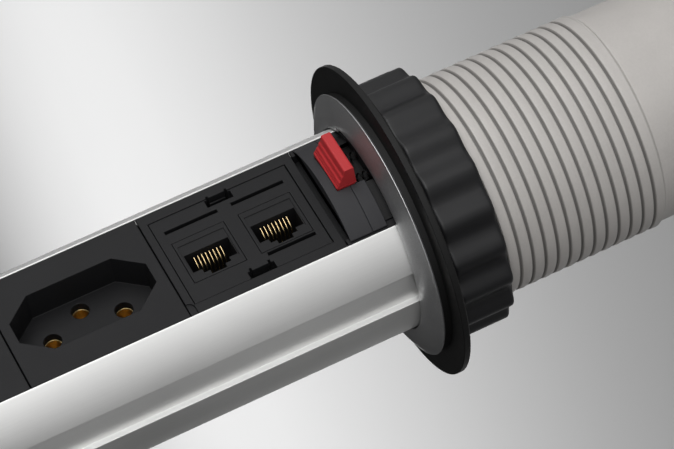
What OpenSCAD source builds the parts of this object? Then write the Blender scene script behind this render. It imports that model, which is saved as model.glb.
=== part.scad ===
// Pop-up desk socket: a D-shaped socket tower that slides in a threaded barrel, clamped through a desk.
// Frame: origin on the barrel's axis at the flange's underside, +Z up out of the desk, -Y the socket face.
// All sizes are in millimetres.

/* [Tower] */
// Outside diameter of the tower extrusion
tower_d = 54; // [50:0.5:58]
// Wall of the tower extrusion
tower_wall = 3; // [2.6:0.1:3.2]
// Width of the flat socket face
face_w = 34; // [32:0.5:36]
// Width of the metal lip beside the socket modules
lip_w = 1.2; // [0.8:0.1:1.6]
// Depth of the metal lip, front to back
lip_t = 4; // [3.5:0.1:4.5]
// Width of the metal edge that shows beside the modules' faces
edge_w = 0.4; // [0.3:0.1:0.8]
// Depth of the groove along each side of the tower
groove_depth = 1.7; // [1:0.1:1.8]
// Front edge of the side groove, in degrees from the front
groove_from = 67; // [64:0.5:72]
// Rear edge of the side groove, in degrees from the front
groove_to = 86; // [84:0.5:92]
// Length of one socket module along the tower
module_l = 42; // [41.6:0.2:45]
// Height of the lowest module's lower end
first_module_z = 19.4; // [18.8:0.2:24]
// Thickness of the top cap
cap_t = 4.5; // [3.5:0.5:7]
// Overhang of the top cap beyond the tower
cap_lip = 2.4; // [1.2:0.2:3]
// Height of the foot at the tower's lower end
foot_h = 14; // [12:1:20]
// Diameter of the cable way through the foot
foot_way_d = 18; // [12:1:22]

/* [Sockets] */
// Depth of the plug recess
recess_depth = 9.5; // [8:0.5:11]
// Length of the plug recess along the tower
recess_l = 36; // [34:0.5:38]
// Width of the plug recess
recess_w = 17.6; // [16:0.2:19]
// Distance between the two live contacts
pin_pitch = 19; // [17:0.5:20]
// Sideways offset of the earth contact
earth_offset = 5; // [4:0.5:5.5]
// Diameter of a plug pin
pin_d = 4; // [3.5:0.1:4.4]
// Length of a contact sleeve
sleeve_l = 13; // [10:1:14]

/* [Data outlets] */
// Length of the outlet plate along the tower
plate_l = 37; // [36.5:0.1:38]
// Width of the outlet plate
plate_w = 27.2; // [26.8:0.2:27.6]
// Thickness of the outlet plate
plate_t = 2.1; // [1.8:0.1:2.4]
// Distance between the two jacks
jack_pitch = 17.95; // [17.4:0.05:18.4]
// Length of a jack along the tower
jack_l = 13.9; // [13.5:0.1:14.3]
// Width of a jack
jack_w = 13.3; // [13:0.1:13.6]
// Depth of a jack behind its face
jack_depth = 16; // [14:0.5:18]
// Sideways offset of the jacks from the tower's centre
jack_x = -1.25; // [-1.6:0.05:-0.8]
// Length of a jack's mouth along the tower
mouth_l = 11.8; // [11.6:0.1:12]
// Distance between neighbouring contact wires
wire_pitch = 1.016; // [1:0.008:1.04]

/* [Flange and collar] */
// Diameter of the flange disc
flange_d = 84; // [80:0.5:90]
// Thickness of the flange disc
flange_t = 1.9; // [1.6:0.1:2.6]
// Diameter of the collar
collar_d = 71; // [70:0.5:76]
// Height of the collar above the flange disc
collar_h = 4.6; // [4.2:0.1:6]
// Height of the collar's outer edge above the flange disc
collar_edge_h = 2.4; // [1.8:0.1:2.8]
// Radial room between the latch housing and the collar
pocket_room = 2; // [1.6:0.1:2.6]
// Left end of the collar's front pocket, in degrees from the front
pocket_left = 38; // [36:1:42]
// Right end of the collar's front pocket, in degrees from the front
pocket_right = 31; // [28:1:42]
// Height of the seal below the flange disc
seal_proud = 0.2; // [0.1:0.05:0.4]

/* [Barrel] */
// Wall of the barrel under its thread
barrel_wall = 1.1; // [1:0.05:1.6]
// Depth of the thread
thread_depth = 0.8; // [0.5:0.05:1]
// Pitch of the thread
thread_pitch = 3.45; // [3:0.05:4]
// Number of turns on the barrel
thread_turns = 17; // [16:1:20]
// Thickness of the barrel's top rim
rim_t = 1.2; // [1:0.1:1.6]
// Free room below the lowered tower
end_room = 15; // [12:1:20]
// Thickness of the barrel's end cap
end_cap_t = 3; // [2:0.5:4]
// Bore of the cable gland
gland_bore_d = 8.4; // [6:0.2:10]

/* [Clamp] */
// Diameter over the nut's lobes
nut_d = 69; // [66:0.5:72]
// Depth of the nut's flutes
flute_depth = 1.8; // [1:0.1:2]
// Number of flutes round the nut
flute_count = 20; // [18:1:26]
// Height of the nut
nut_h = 14.9; // [12:0.1:18]
// Radial room between the thread and the nut's bore
nut_room = 1.3; // [1.1:0.1:1.4]
// Diameter of the clamp washer
washer_d = 65; // [63:0.5:66]
// Thickness of the clamp washer
washer_t = 1; // [0.8:0.1:1.6]

/* [Release] */
// Height of the latch housing's top
housing_top = 18.3; // [17.4:0.1:19]
// Height of the parting line across the housing
housing_split = 12.2; // [11:0.1:13]
// Reach of the latch housing below the flange
housing_reach = 30; // [29:1:36]
// Sideways offset of the release button
button_x = 2.2; // [1.5:0.1:2.6]
// Width of the release button
button_w = 12.8; // [12:0.1:13.2]
// Height of the button's lower face at rest
button_z = 10.2; // [10:0.1:11]
// Height of the button at its root
button_h = 5.5; // [5:0.1:5.8]
// Stand-out of the button from the housing
button_proud = 5.7; // [4.6:0.1:6.2]
// Stroke of the release button
button_stroke = 2.4; // [1.6:0.1:2.6]
// Outside diameter of a return spring
spring_d = 2.5; // [2:0.1:2.7]
// Wire of a return spring
spring_wire = 0.45; // [0.35:0.05:0.5]
// Length of a return spring at rest
spring_l = 14; // [12:0.5:16]

/* [Clearances] */
// Gap between the tower and what it slides in
slide_gap = 0.4; // [0.3:0.05:0.5]
// Gap between pieces that are fixed to each other
fit_gap = 0.1; // [0.05:0.01:0.15]
// Gap between pieces that move past each other
run_gap = 0.3; // [0.25:0.05:0.4]

/* [Hidden] */
$fn = 64;
eps = 0.01;
big = 100;

// Tower section
tower_r = tower_d / 2;
inner_r = tower_r - tower_wall;
face_y = -sqrt(tower_r * tower_r - face_w * face_w / 4);
open_hw = face_w / 2 - lip_w;
front_hw = face_w / 2 - edge_w;
rebate_t = 1.2;
lip_back_y = face_y + lip_t;
wing_t = 3;
wing_back_y = lip_back_y + wing_t;
wing_hw = sqrt(inner_r * inner_r - lip_back_y * lip_back_y) - run_gap;
shelf_t = 1.8;
shelf_overlap = 1.2;
ledge_block_w = 6;
wall_sink = 0.5;
boss_r = 3.2;
boss_sink = 1;
boss_place_r = inner_r - boss_r + boss_sink;
boss_angles = [25, 90, 155];

// Heights along the tower
cap_z = first_module_z + 3 * module_l;
foot_top = -housing_reach - run_gap;
foot_bottom = foot_top - foot_h;
module_gap = 0.3;
cover_drop = 3.4;
cover_sink = 3;
cover_side = 1.2;

// Flange, collar and barrel
bore_r = tower_r + slide_gap;
root_r = bore_r + barrel_wall;
crest_r = root_r + thread_depth;
flange_r = flange_d / 2;
flange_top = seal_proud + flange_t;
rim_top = flange_top + rim_t;
collar_r = collar_d / 2;
collar_top = flange_top + collar_h;
collar_edge_z = flange_top + collar_edge_h;
collar_edge_t = 0.7;
step_top = collar_edge_z - collar_edge_t;
step_inset = 0.5;
collar_undercut = 0.4;
collar_skirt = 1.2;
rim_r = collar_r - collar_skirt - fit_gap;
disc_margin = flange_r - collar_r;
seal_in_share = 0.14;
seal_out_share = 0.22;
seal_in_r = collar_r + seal_in_share * disc_margin;
seal_out_r = flange_r - seal_out_share * disc_margin;
seal_inset = flange_t / 2;
neck_l = 2.65;
cut_room = 1;
thread_bottom = -neck_l - thread_turns * thread_pitch;
travel = cap_z - collar_top - slide_gap;
barrel_bottom = foot_bottom - travel - end_room;

// Screws
flange_screw_r = 1.05;
flange_screw_head_r = 2.1;
flange_screw_edge = 1.5;
flange_screw_place_r = rim_r - flange_screw_edge;
flange_screw_bite = 1.6;
flange_screw_top = rim_top + flange_screw_bite;
flange_screw_l = flange_screw_top - seal_proud;
flange_screw_head_h = 1.1;
head_room = 2;
flange_screw_angles = [45, 135, 225, 315];
tower_screw_r = 1.45;
tower_screw_head_r = 2.8;
tower_screw_head_h = 1.7;
tower_screw_l = 12;
foot_screw_l = foot_h + tower_screw_l - cap_t;
small_screw_r = 0.8;
small_screw_head_r = 1.3;
small_screw_head_h = 0.8;
latch_screw_z = -9;
latch_screw_x = 10.5;
latch_screw_head_h = 0.9;
latch_screw_head_r = 1.8;
latch_screw_r = 0.9;
latch_screw_l = 3.6;
end_screw_angles = [30, 150, 270];

// Guide keys in the barrel's wall
key_angle = (groove_from + groove_to) / 2;
key_w = 2 * (tower_r - groove_depth) * sin((groove_to - groove_from) / 2) - 2 * run_gap;
key_drop = 0.4;
key_top = flange_top - key_drop;
key_h = 10;
key_in_r = tower_r - groove_depth + run_gap;

// Clamp nut
nut_bore_r = crest_r + nut_room;
nut_gap = 0.5;
washer_top = seal_proud - nut_gap;
nut_top = washer_top - washer_t;
nut_mid_r = (nut_d - flute_depth) / 2;
flute_steps = 10;
flute_turn = 0.4;

// Latch housing and button
face_gap = 0.3;
housing_y = face_y - face_gap;
housing_inset = 0.2;
housing_side = 0.2;
housing_r = tower_r - housing_inset;
housing_hw = sqrt(housing_r * housing_r - housing_y * housing_y) - housing_side;
housing_screw_bite = 0.8;
housing_screw_l = housing_top - housing_split + housing_screw_bite;
housing_screw_out = 3.4;
housing_screw_in = 1.9;
housing_screw_back = 1;
shank_step = 0.2;
shank_w = button_w - 2 * shank_step;
button_ear = 1;
flange_w = button_w + 2 * button_ear;
slide_wall = 1.3;
ear_t = 1.3;
shank_back_y = housing_y - slide_wall;
slot_back_y = shank_back_y + run_gap;
flange_front_y = shank_back_y - ear_t;
shank_z = button_z + shank_step;
shank_top = button_z + button_h - 2 * shank_step;
slot_spare = 2.1;
slot_bottom = shank_z - button_stroke - slot_spare;
spring_bottom = shank_z - run_gap - spring_l;
spring_hole_r = spring_d / 2 + run_gap;
spring_wall = 0.8;
spring_y = housing_y - spring_wall - spring_hole_r;
spring_spread = 3.4;
spring_turns = 9;
spring_sides = 6;
spring_steps = 12;

// Sockets and outlets
socket_end = 1.2;
data_z = first_module_z + module_l / 2;
power_zs = [data_z + module_l, data_z + 2 * module_l];
plate_recess = 0.25;
plate_gap = 0.18;
plate_y = face_y + plate_recess;
ledge_y = plate_y + plate_t;
jack_room = 0.5;
floor_t = 2.5;
floor_front_y = face_y + recess_depth;
floor_back_y = floor_front_y + floor_t;
socket_body_inset = 1.8;
socket_body_hw = open_hw - socket_body_inset;
socket_body_l = module_l - 2 * socket_end;
back_wall = 1.4;
tail_l = 4;
tail_w = 3;
tail_t = 1.2;
tail_room = 0.6;
back_y = floor_back_y + sleeve_l + tail_l + tail_room + back_wall;
sleeve_wall = 1;
sleeve_r = pin_d / 2 + sleeve_wall;
pin_room = 0.25;
pin_hole_r = pin_d / 2 + pin_room;
recess_side_l = 22.4;
recess_end_w = 6.2;
back_way = 7;
mouth_side = 2.05;
mouth_edge_x = jack_x + mouth_side;
mouth_w = 5.6;
latch_step_w = 1.4;
latch_step_l = 7.2;
latch_tip_w = 1.2;
latch_tip_l = 4;
mouth_depth = 12;
wire_count = 8;
wire_w = 0.45;
wire_t = 0.22;
wire_inset = 1.8;
wire_bends = [[0, 0], [1.7, 0.7], [2.8, 1.6], [3.3, 3]];
clip_l = 7;
clip_w = 2.2;
clip_slit_w = 0.6;
clip_slit_l = 0.9;
clip_tongue_l = 4.4;
upper_clip_x = plate_w / 2 - 1.4;
lower_clip_x = (clip_w - plate_w) / 2;
clip_depth = plate_recess + plate_t;
clip_sink = 2;
notch_w = 3.8;
notch_l = 1.8;
notch_depth = 0.5;
field_margin = 1.6;
field_low_margin = 2.4;
field_depth = 0.25;
slot_l = 14.2;
slot_w = 1;
slot_depth = clip_depth + cut_room;
slot_x = 9.2;
low_slot_x = jack_x - jack_w / 2 - 1.05;
low_slot_l = 12.9;
terminal_w = 24;
terminal_h = 14;
terminal_depth = 12;
terminal_z = -6;
terminal_pitch = 8;
terminal_screw_r = 1.6;
terminal_screw_back = 4;
terminal_screw_sunk = 1;
terminal_wire_r = 1.5;
screw_slot_w = 0.5;
screw_slot_depth = 0.6;

// Cable gland
gland_wall = 3.8;
gland_r = gland_bore_d / 2 + gland_wall;
gland_land = 3.4;
gland_hex_r = gland_r + gland_land;
gland_hex_h = 5;
gland_nose_l = 7;
gland_taper = 1.6;
gland_past = 1.5;
locknut_h = 4;
cap_ring_t = 2.6;
cap_ring_h = 8;
end_screw_past = 0.6;
end_screw_l = barrel_wall + cap_ring_t + end_screw_past;

// Shared shapes

// Half-turned cylinder whose axis runs from front to back
module y_rod(r, l) {
    rotate([-90, 0, 0]) cylinder(r = r, h = l);
}

// Screw with a countersunk head: head face at z = 0, shank towards -Z
module countersunk_screw(r, head_r, head_h, l) {
    translate([0, 0, -head_h]) cylinder(r1 = r, r2 = head_r, h = head_h);
    translate([0, 0, -l]) cylinder(r = r, h = l - head_h + eps);
}

// Hole for such a screw
module countersunk_hole(r, head_r, head_h, l, gap) {
    translate([0, 0, -head_h - gap]) cylinder(r1 = r + gap, r2 = head_r + gap, h = head_h + gap);
    translate([0, 0, -l - gap]) cylinder(r = r + gap, h = l + gap);
    translate([0, 0, -eps]) cylinder(r = head_r + gap, h = head_room);
}

// Places its children at the three screw bosses of the tower
module at_bosses() {
    for (a = boss_angles) {
        translate([boss_place_r * cos(a), boss_place_r * sin(a), 0]) children();
    }
}

// Places its children at the flange screws
module at_flange_screws() {
    for (a = flange_screw_angles) {
        rotate([0, 0, a]) translate([flange_screw_place_r, 0, seal_proud]) rotate([180, 0, 0]) children();
    }
}

// Holes for their shanks through the disc, the rim and into the collar
module flange_screw_holes() {
    at_flange_screws() translate([0, 0, -flange_screw_l - fit_gap])
        cylinder(r = flange_screw_r + fit_gap, h = flange_screw_l + 2 * fit_gap);
}

// Ring sector round Z, its angles measured from the front
module front_sector(r_in, r_out, from, to, h) {
    rotate([0, 0, from - 90]) rotate_extrude(angle = to - from)
        translate([r_in, 0]) square([r_out - r_in, h]);
}

// Outline of everything behind the flat socket face
module behind_face() {
    translate([-big, face_y]) square([2 * big, 2 * big]);
}

// Section of a socket module: the face over the lips, the neck between them and the wings behind them
module module_section() {
    translate([-front_hw + fit_gap, face_y]) square([2 * (front_hw - fit_gap), rebate_t - fit_gap]);
    translate([-open_hw + fit_gap, face_y]) square([2 * (open_hw - fit_gap), lip_t]);
    translate([-wing_hw, lip_back_y]) square([2 * wing_hw, wing_t]);
}

// Wound spring along +Z from the origin
function spring_point(i, j) =
    let (t = i / (spring_turns * spring_steps))
    let (a = 360 * spring_turns * t)
    let (b = 360 * j / spring_sides)
    let (r = (spring_d - spring_wire) / 2 + spring_wire / 2 * cos(b))
    let (z = spring_wire / 2 + (spring_l - spring_wire) * t + spring_wire / 2 * sin(b))
    [r * cos(a), r * sin(a), z];

module spring() {
    last = spring_turns * spring_steps;
    points = [for (i = [0:last], j = [0:spring_sides - 1]) spring_point(i, j)];
    sides = [
        for (i = [0:last - 1], j = [0:spring_sides - 1])
        let (k = (j + 1) % spring_sides)
        let (a = i * spring_sides + j)
        let (b = i * spring_sides + k)
        each [[a, a + spring_sides, b + spring_sides], [a, b + spring_sides, b]]
    ];
    start = [for (j = [1:spring_sides - 2]) [0, j, j + 1]];
    first = last * spring_sides;
    finish = [for (j = [1:spring_sides - 2]) [first, first + j + 1, first + j]];
    polyhedron(points = points, faces = concat(sides, start, finish));
}

// Barrel, flange and collar

function thread_turn(z) = [
    [root_r, z],
    [crest_r - thread_depth * 0.3, z - thread_pitch * 0.07],
    [crest_r, z - thread_pitch * 0.22],
    [crest_r, z - thread_pitch * 0.78],
    [crest_r - thread_depth * 0.3, z - thread_pitch * 0.93]
];

module threaded_barrel() {
    turns = [for (i = [0:thread_turns - 1]) each thread_turn(-neck_l - i * thread_pitch)];
    outline = concat(
        [[bore_r, rim_top], [rim_r, rim_top], [rim_r, flange_top]],
        [[crest_r, flange_top], [crest_r, -neck_l + thread_depth]],
        turns,
        [[root_r, thread_bottom], [root_r, barrel_bottom], [bore_r, barrel_bottom]]
    );
    color("gainsboro") difference() {
        rotate_extrude() polygon(outline);
        for (side = [-1, 1]) key_window(side);
        flange_screw_holes();
        at_latch_screws()
            countersunk_hole(latch_screw_r, latch_screw_head_r, latch_screw_head_h, latch_screw_l, fit_gap);
        end_cap_screw_holes();
    }
}

module key_window(side) {
    rotate([0, 0, side * key_angle]) translate([-key_w / 2, -crest_r - 1, key_top - key_h])
        cube([key_w, crest_r + 1 - bore_r * 0.8, key_h]);
}

module guide_key(side) {
    rotate([0, 0, side * key_angle]) intersection() {
        translate([0, 0, key_top - key_h]) difference() {
            cylinder(r = root_r - fit_gap, h = key_h);
            translate([0, 0, -1]) cylinder(r = key_in_r, h = key_h + 2);
        }
        translate([-key_w / 2 + fit_gap, -big, key_top - key_h + fit_gap])
            cube([key_w - 2 * fit_gap, big, key_h - 2 * fit_gap]);
    }
}

module guide_key_left() {
    color("dimgray") guide_key(-1);
}

module guide_key_right() {
    color("dimgray") guide_key(1);
}

module flange_disc() {
    edge = 0.35;
    rim_edge = 0.15;
    inner = crest_r + fit_gap;
    color("black") difference() {
        rotate_extrude() polygon([
            [inner, seal_proud], [flange_r - edge, seal_proud], [flange_r, seal_proud + edge],
            [flange_r, flange_top - rim_edge], [flange_r - rim_edge, flange_top],
            [collar_r - step_inset, flange_top], [collar_r - step_inset, step_top],
            [rim_r + fit_gap, step_top], [rim_r + fit_gap, flange_top], [inner, flange_top]
        ]);
        difference() {
            cylinder(r = seal_out_r + fit_gap, h = seal_proud + seal_inset);
            translate([0, 0, -1]) cylinder(r = seal_in_r - fit_gap, h = seal_proud + seal_inset + 2);
        }
        at_flange_screws()
            countersunk_hole(
                flange_screw_r, flange_screw_head_r, flange_screw_head_h, flange_screw_l, fit_gap);
    }
}

module flange_seal() {
    color("dimgray") difference() {
        cylinder(r = seal_out_r, h = seal_proud + seal_inset);
        translate([0, 0, -1]) cylinder(r = seal_in_r, h = seal_proud + seal_inset + 2);
    }
}

module collar() {
    land = 1.6;
    edge = 0.25;
    rise = collar_top - collar_edge_z;
    span = collar_r - edge - bore_r - land;
    dome = [for (t = [0.125:0.125:1]) [collar_r - edge - span * t, collar_edge_z + rise * sin(90 * t)]];
    outline = concat(
        [[collar_r - collar_undercut, step_top], [collar_r, step_top + collar_undercut]],
        [[collar_r, collar_edge_z - edge]],
        [[collar_r - edge, collar_edge_z]],
        dome,
        [[bore_r + edge, collar_top], [bore_r, collar_top - edge], [bore_r, rim_top]],
        [[rim_r + fit_gap, rim_top], [rim_r + fit_gap, step_top]]
    );
    color("silver") difference() {
        rotate_extrude() polygon(outline);
        translate([0, 0, rim_top - 1]) front_sector(
            tower_r - 5, housing_r + pocket_room, -pocket_left, pocket_right, collar_h + 2);
        flange_screw_holes();
    }
}

module flange_screws() {
    color("darkgray") at_flange_screws()
        countersunk_screw(flange_screw_r, flange_screw_head_r, flange_screw_head_h, flange_screw_l);
}

// Latch housing, fixed in front of the tower's flat face

module housing_segment(r, hw, from, to) {
    translate([0, 0, from]) linear_extrude(to - from) intersection() {
        circle(r = r);
        translate([-hw, -big]) square([2 * hw, big + housing_y]);
    }
}

// Room for the button's shank, its wider back and its springs
module button_way() {
    way_h = shank_top + run_gap - slot_bottom;
    translate([button_x - shank_w / 2 - run_gap, -big, slot_bottom])
        cube([shank_w + 2 * run_gap, big + slot_back_y, way_h]);
    translate([button_x - flange_w / 2 - run_gap, flange_front_y - run_gap, slot_bottom])
        cube([flange_w + 2 * run_gap, slot_back_y - flange_front_y + run_gap, way_h]);
    at_springs() cylinder(r = spring_hole_r, h = slot_bottom - spring_bottom + cut_room);
}

module at_springs() {
    for (side = [-1, 1]) translate([button_x + side * spring_spread, spring_y, spring_bottom]) children();
}

// Places its children where screws join the two halves of the housing
module at_housing_screws() {
    for (x = [button_x - flange_w / 2 - housing_screw_out, button_x + flange_w / 2 + housing_screw_in])
        translate([x, housing_y - housing_screw_back, housing_top]) children();
}

// Places its children where screws hold the housing in the barrel, head outwards
module at_latch_screws() {
    for (side = [-1, 1]) {
        turn = asin(side * latch_screw_x / root_r);
        rotate([0, 0, turn]) translate([0, -root_r + fit_gap, latch_screw_z]) rotate([90, 0, 0]) children();
    }
}

module latch_housing_lower() {
    color("dimgray") difference() {
        union() {
            housing_segment(bore_r - fit_gap, housing_hw, -housing_reach, rim_top);
            housing_segment(housing_r, housing_hw, rim_top - eps, housing_split);
        }
        button_way();
        at_housing_screws()
            cylinder(r = small_screw_r + fit_gap, h = 2 * (housing_screw_l + fit_gap), center = true);
        at_latch_screws() translate([0, 0, -latch_screw_l - fit_gap])
            cylinder(r = latch_screw_r + fit_gap, h = 2 * latch_screw_l);
    }
}

module latch_housing_upper() {
    color("dimgray") difference() {
        housing_segment(housing_r, housing_hw, housing_split, housing_top);
        button_way();
        at_housing_screws()
            countersunk_hole(small_screw_r, small_screw_head_r, small_screw_head_h, housing_screw_l, fit_gap);
    }
}

module housing_screws() {
    color("darkgray") at_housing_screws()
        countersunk_screw(small_screw_r, small_screw_head_r, small_screw_head_h, housing_screw_l);
}

module latch_screws() {
    color("darkgray") at_latch_screws()
        countersunk_screw(latch_screw_r, latch_screw_head_r, latch_screw_head_h, latch_screw_l);
}

// Side view of the button's head, as (stand-out from the housing, height)
function button_outline() = [
    [-1, 0], [button_proud - 0.3, button_h * 0.07], [button_proud, button_h * 0.13],
    [button_proud, button_h * 0.5], [button_proud - 0.3, button_h * 0.56],
    [button_proud * 0.66, button_h * 0.62], [button_proud * 0.6, button_h * 0.7],
    [button_proud * 0.4, button_h * 0.75], [button_proud * 0.34, button_h * 0.84],
    [button_proud * 0.14, button_h * 0.9], [button_proud * 0.08, button_h], [-1, button_h]
];

module release_button() {
    color("firebrick") {
        difference() {
            translate([button_x - button_w / 2, -housing_r, button_z]) rotate([90, 0, 90])
                linear_extrude(button_w) polygon([for (p = button_outline()) [-p[0], p[1]]]);
            translate([0, 0, button_z - 1]) cylinder(r = housing_r + run_gap, h = button_h + 2);
        }
        translate([button_x - shank_w / 2, -housing_r - 1, shank_z])
            cube([shank_w, housing_r + 1 + shank_back_y, shank_top - shank_z]);
        translate([button_x - flange_w / 2, flange_front_y, shank_z])
            cube([flange_w, shank_back_y - flange_front_y, shank_top - shank_z]);
    }
}

module release_springs() {
    color("silver") at_springs() spring();
}

// Barrel end and cable gland

// Places its children where flush screws hold the end cap in the barrel, head outwards
module at_end_cap_screws() {
    for (a = end_screw_angles) rotate([0, 0, a])
        translate([root_r - fit_gap, 0, barrel_bottom + cap_ring_h / 2]) rotate([0, 90, 0]) children();
}

module end_cap_screw_holes() {
    at_end_cap_screws()
        countersunk_hole(small_screw_r, small_screw_head_r, small_screw_head_h, end_screw_l, fit_gap);
}

module barrel_end_cap() {
    color("dimgray") difference() {
        union() {
            translate([0, 0, barrel_bottom - end_cap_t]) cylinder(r = root_r, h = end_cap_t);
            translate([0, 0, barrel_bottom - eps]) difference() {
                cylinder(r = bore_r - fit_gap, h = cap_ring_h);
                translate([0, 0, -1]) cylinder(r = bore_r - fit_gap - cap_ring_t, h = cap_ring_h + 2);
            }
        }
        translate([0, 0, barrel_bottom - end_cap_t - 1]) cylinder(r = gland_r + fit_gap, h = end_cap_t + 2);
        end_cap_screw_holes();
    }
}

module end_cap_screws() {
    color("darkgray") at_end_cap_screws()
        countersunk_screw(small_screw_r, small_screw_head_r, small_screw_head_h, end_screw_l);
}

module cable_gland() {
    cap_face = barrel_bottom - end_cap_t;
    nose_z = cap_face - gland_hex_h - gland_nose_l;
    color("black") difference() {
        union() {
            translate([0, 0, cap_face - gland_hex_h]) cylinder(r = gland_hex_r, h = gland_hex_h, $fn = 6);
            translate([0, 0, cap_face - eps]) cylinder(r = gland_r, h = end_cap_t + locknut_h + gland_past);
            translate([0, 0, nose_z])
                cylinder(r1 = gland_r - gland_taper, r2 = gland_r, h = gland_nose_l + eps);
        }
        translate([0, 0, nose_z - cut_room]) cylinder(r = gland_bore_d / 2, h = big / 2);
    }
}

module gland_locknut() {
    color("black") translate([0, 0, barrel_bottom]) difference() {
        cylinder(r = gland_hex_r, h = locknut_h, $fn = 6);
        translate([0, 0, -1]) cylinder(r = gland_r + fit_gap, h = locknut_h + 2);
    }
}

// Clamp

module clamp_washer() {
    color("gray") translate([0, 0, nut_top]) difference() {
        cylinder(r = washer_d / 2, h = washer_t);
        translate([0, 0, -1]) cylinder(r = nut_bore_r, h = washer_t + 2);
    }
}

module clamp_nut() {
    count = flute_count * flute_steps;
    wave = [
        for (i = [0:count - 1])
        let (a = 360 * (i / count + flute_turn / flute_count))
        let (r = nut_mid_r + flute_depth / 2 * cos(360 * i / flute_steps))
        [r * cos(a), r * sin(a)]
    ];
    bevel = flute_depth;
    lobe_r = nut_d / 2;
    color("black") translate([0, 0, nut_top - nut_h]) difference() {
        intersection() {
            linear_extrude(nut_h) polygon(wave);
            rotate_extrude() polygon([
                [0, 0], [lobe_r - bevel * 0.7, 0], [lobe_r, bevel * 0.7],
                [lobe_r, nut_h - bevel], [lobe_r - bevel, nut_h], [0, nut_h]
            ]);
        }
        translate([0, 0, -1]) cylinder(r = nut_bore_r, h = nut_h + 2);
    }
}

// Tower

// Block beside the socket opening, from x outwards
module side_block(side, x, y, t) {
    translate([side > 0 ? x : -x - ledge_block_w, y]) square([ledge_block_w, t]);
}

module tower_outline() {
    difference() {
        union() {
            difference() {
                circle(r = tower_r);
                circle(r = inner_r);
            }
            intersection() {
                circle(r = inner_r + wall_sink);
                for (side = [-1, 1]) {
                    side_block(side, open_hw, face_y, lip_t);
                    side_block(side, wing_hw - shelf_overlap, wing_back_y + fit_gap, shelf_t);
                }
            }
            intersection() {
                circle(r = inner_r + wall_sink);
                at_bosses() circle(r = boss_r);
            }
        }
        translate([-big, face_y - big]) square([2 * big, big]);
        translate([-open_hw, face_y - 1]) square([2 * open_hw, lip_t + 1]);
        translate([-front_hw, face_y - 1]) square([2 * front_hw, rebate_t + 1]);
        at_bosses() circle(r = tower_screw_r + fit_gap);
    }
}

module tower_profile() {
    color("silver") difference() {
        translate([0, 0, foot_top]) linear_extrude(cap_z - foot_top) tower_outline();
        for (side = [-1, 1]) {
            start = side > 0 ? groove_from : -groove_to;
            end = start + groove_to - groove_from;
            translate([0, 0, foot_top - cut_room]) front_sector(
                tower_r - groove_depth, tower_r + cut_room, start, end, cap_z - foot_top + 2 * cut_room);
        }
    }
}

module top_cap() {
    cap_r = tower_r + cap_lip;
    edge = 0.9;
    color("silver") translate([0, 0, cap_z]) difference() {
        intersection() {
            rotate_extrude() polygon([
                [0, 0], [cap_r - edge / 3, 0], [cap_r, edge / 3],
                [cap_r, cap_t - edge], [cap_r - edge, cap_t], [0, cap_t]
            ]);
            linear_extrude(cap_t) behind_face();
        }
        at_bosses() translate([0, 0, cap_t])
            countersunk_hole(tower_screw_r, tower_screw_head_r, tower_screw_head_h, cap_t + 1, fit_gap);
    }
}

module cap_screws() {
    color("darkgray") at_bosses() translate([0, 0, cap_z + cap_t])
        countersunk_screw(tower_screw_r, tower_screw_head_r, tower_screw_head_h, tower_screw_l);
}

module tower_foot() {
    edge = 0.8;
    foot_r = bore_r - run_gap;
    color("black") translate([0, 0, foot_bottom]) difference() {
        rotate_extrude() polygon([
            [0, 0], [foot_r - edge, 0], [foot_r, edge], [foot_r, foot_h], [0, foot_h]
        ]);
        translate([0, 0, -1]) cylinder(d = foot_way_d, h = foot_h + 2);
        at_bosses() rotate([180, 0, 0])
            countersunk_hole(tower_screw_r, tower_screw_head_r, tower_screw_head_h, foot_h + 1, fit_gap);
    }
}

module foot_screws() {
    color("darkgray") at_bosses() translate([0, 0, foot_bottom]) rotate([180, 0, 0])
        countersunk_screw(tower_screw_r, tower_screw_head_r, tower_screw_head_h, foot_screw_l);
}

// Lower cover and mains terminal, hidden behind the latch housing

module lower_cover() {
    cover_top = first_module_z - module_gap;
    sunk_hw = open_hw - cover_side;
    color("black") difference() {
        translate([0, 0, foot_top]) linear_extrude(cover_top - foot_top) module_section();
        translate([-sunk_hw, face_y - cut_room, first_module_z - cover_drop])
            cube([2 * sunk_hw, cover_sink + cut_room, cover_drop + cut_room]);
    }
}

module at_terminals() {
    for (i = [-1:1]) translate([i * terminal_pitch, wing_back_y + terminal_depth, terminal_z]) children();
}

module terminal_block() {
    color("whitesmoke") difference() {
        translate([-terminal_w / 2, wing_back_y, terminal_z - terminal_h / 2])
            cube([terminal_w, terminal_depth, terminal_h]);
        at_terminals() {
            translate([0, -terminal_depth / 2, -terminal_h])
                cylinder(r = terminal_wire_r, h = 2 * terminal_h);
            translate([0, -terminal_screw_back, 0]) y_rod(terminal_screw_r + fit_gap, terminal_depth);
        }
    }
}

module terminal_screws() {
    screw_l = terminal_screw_back - terminal_screw_sunk;
    color("darkgray") at_terminals() translate([0, -terminal_screw_back, 0]) difference() {
        y_rod(terminal_screw_r, screw_l);
        translate([-terminal_pitch / 2, screw_l - screw_slot_depth, -screw_slot_w / 2])
            cube([terminal_pitch, terminal_screw_back, screw_slot_w]);
    }
}

// Data outlets

// Cut into the outlets from the socket face, centred at x and at z above the outlets' middle
module face_cut(x, z, w, l, depth) {
    translate([x - w / 2, face_y - cut_room, data_z + z - l / 2]) cube([w, depth + cut_room, l]);
}

// Hole of a clip with a slit on each side of its tongue
module clip_cut(x, depth) {
    slit_z = (clip_tongue_l + clip_slit_w) / 2;
    face_cut(x, 0, clip_w, clip_l, depth);
    for (z = [-slit_z, slit_z]) face_cut(x + clip_w / 2, z, 2 * clip_slit_l, clip_slit_w, depth);
}

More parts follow.
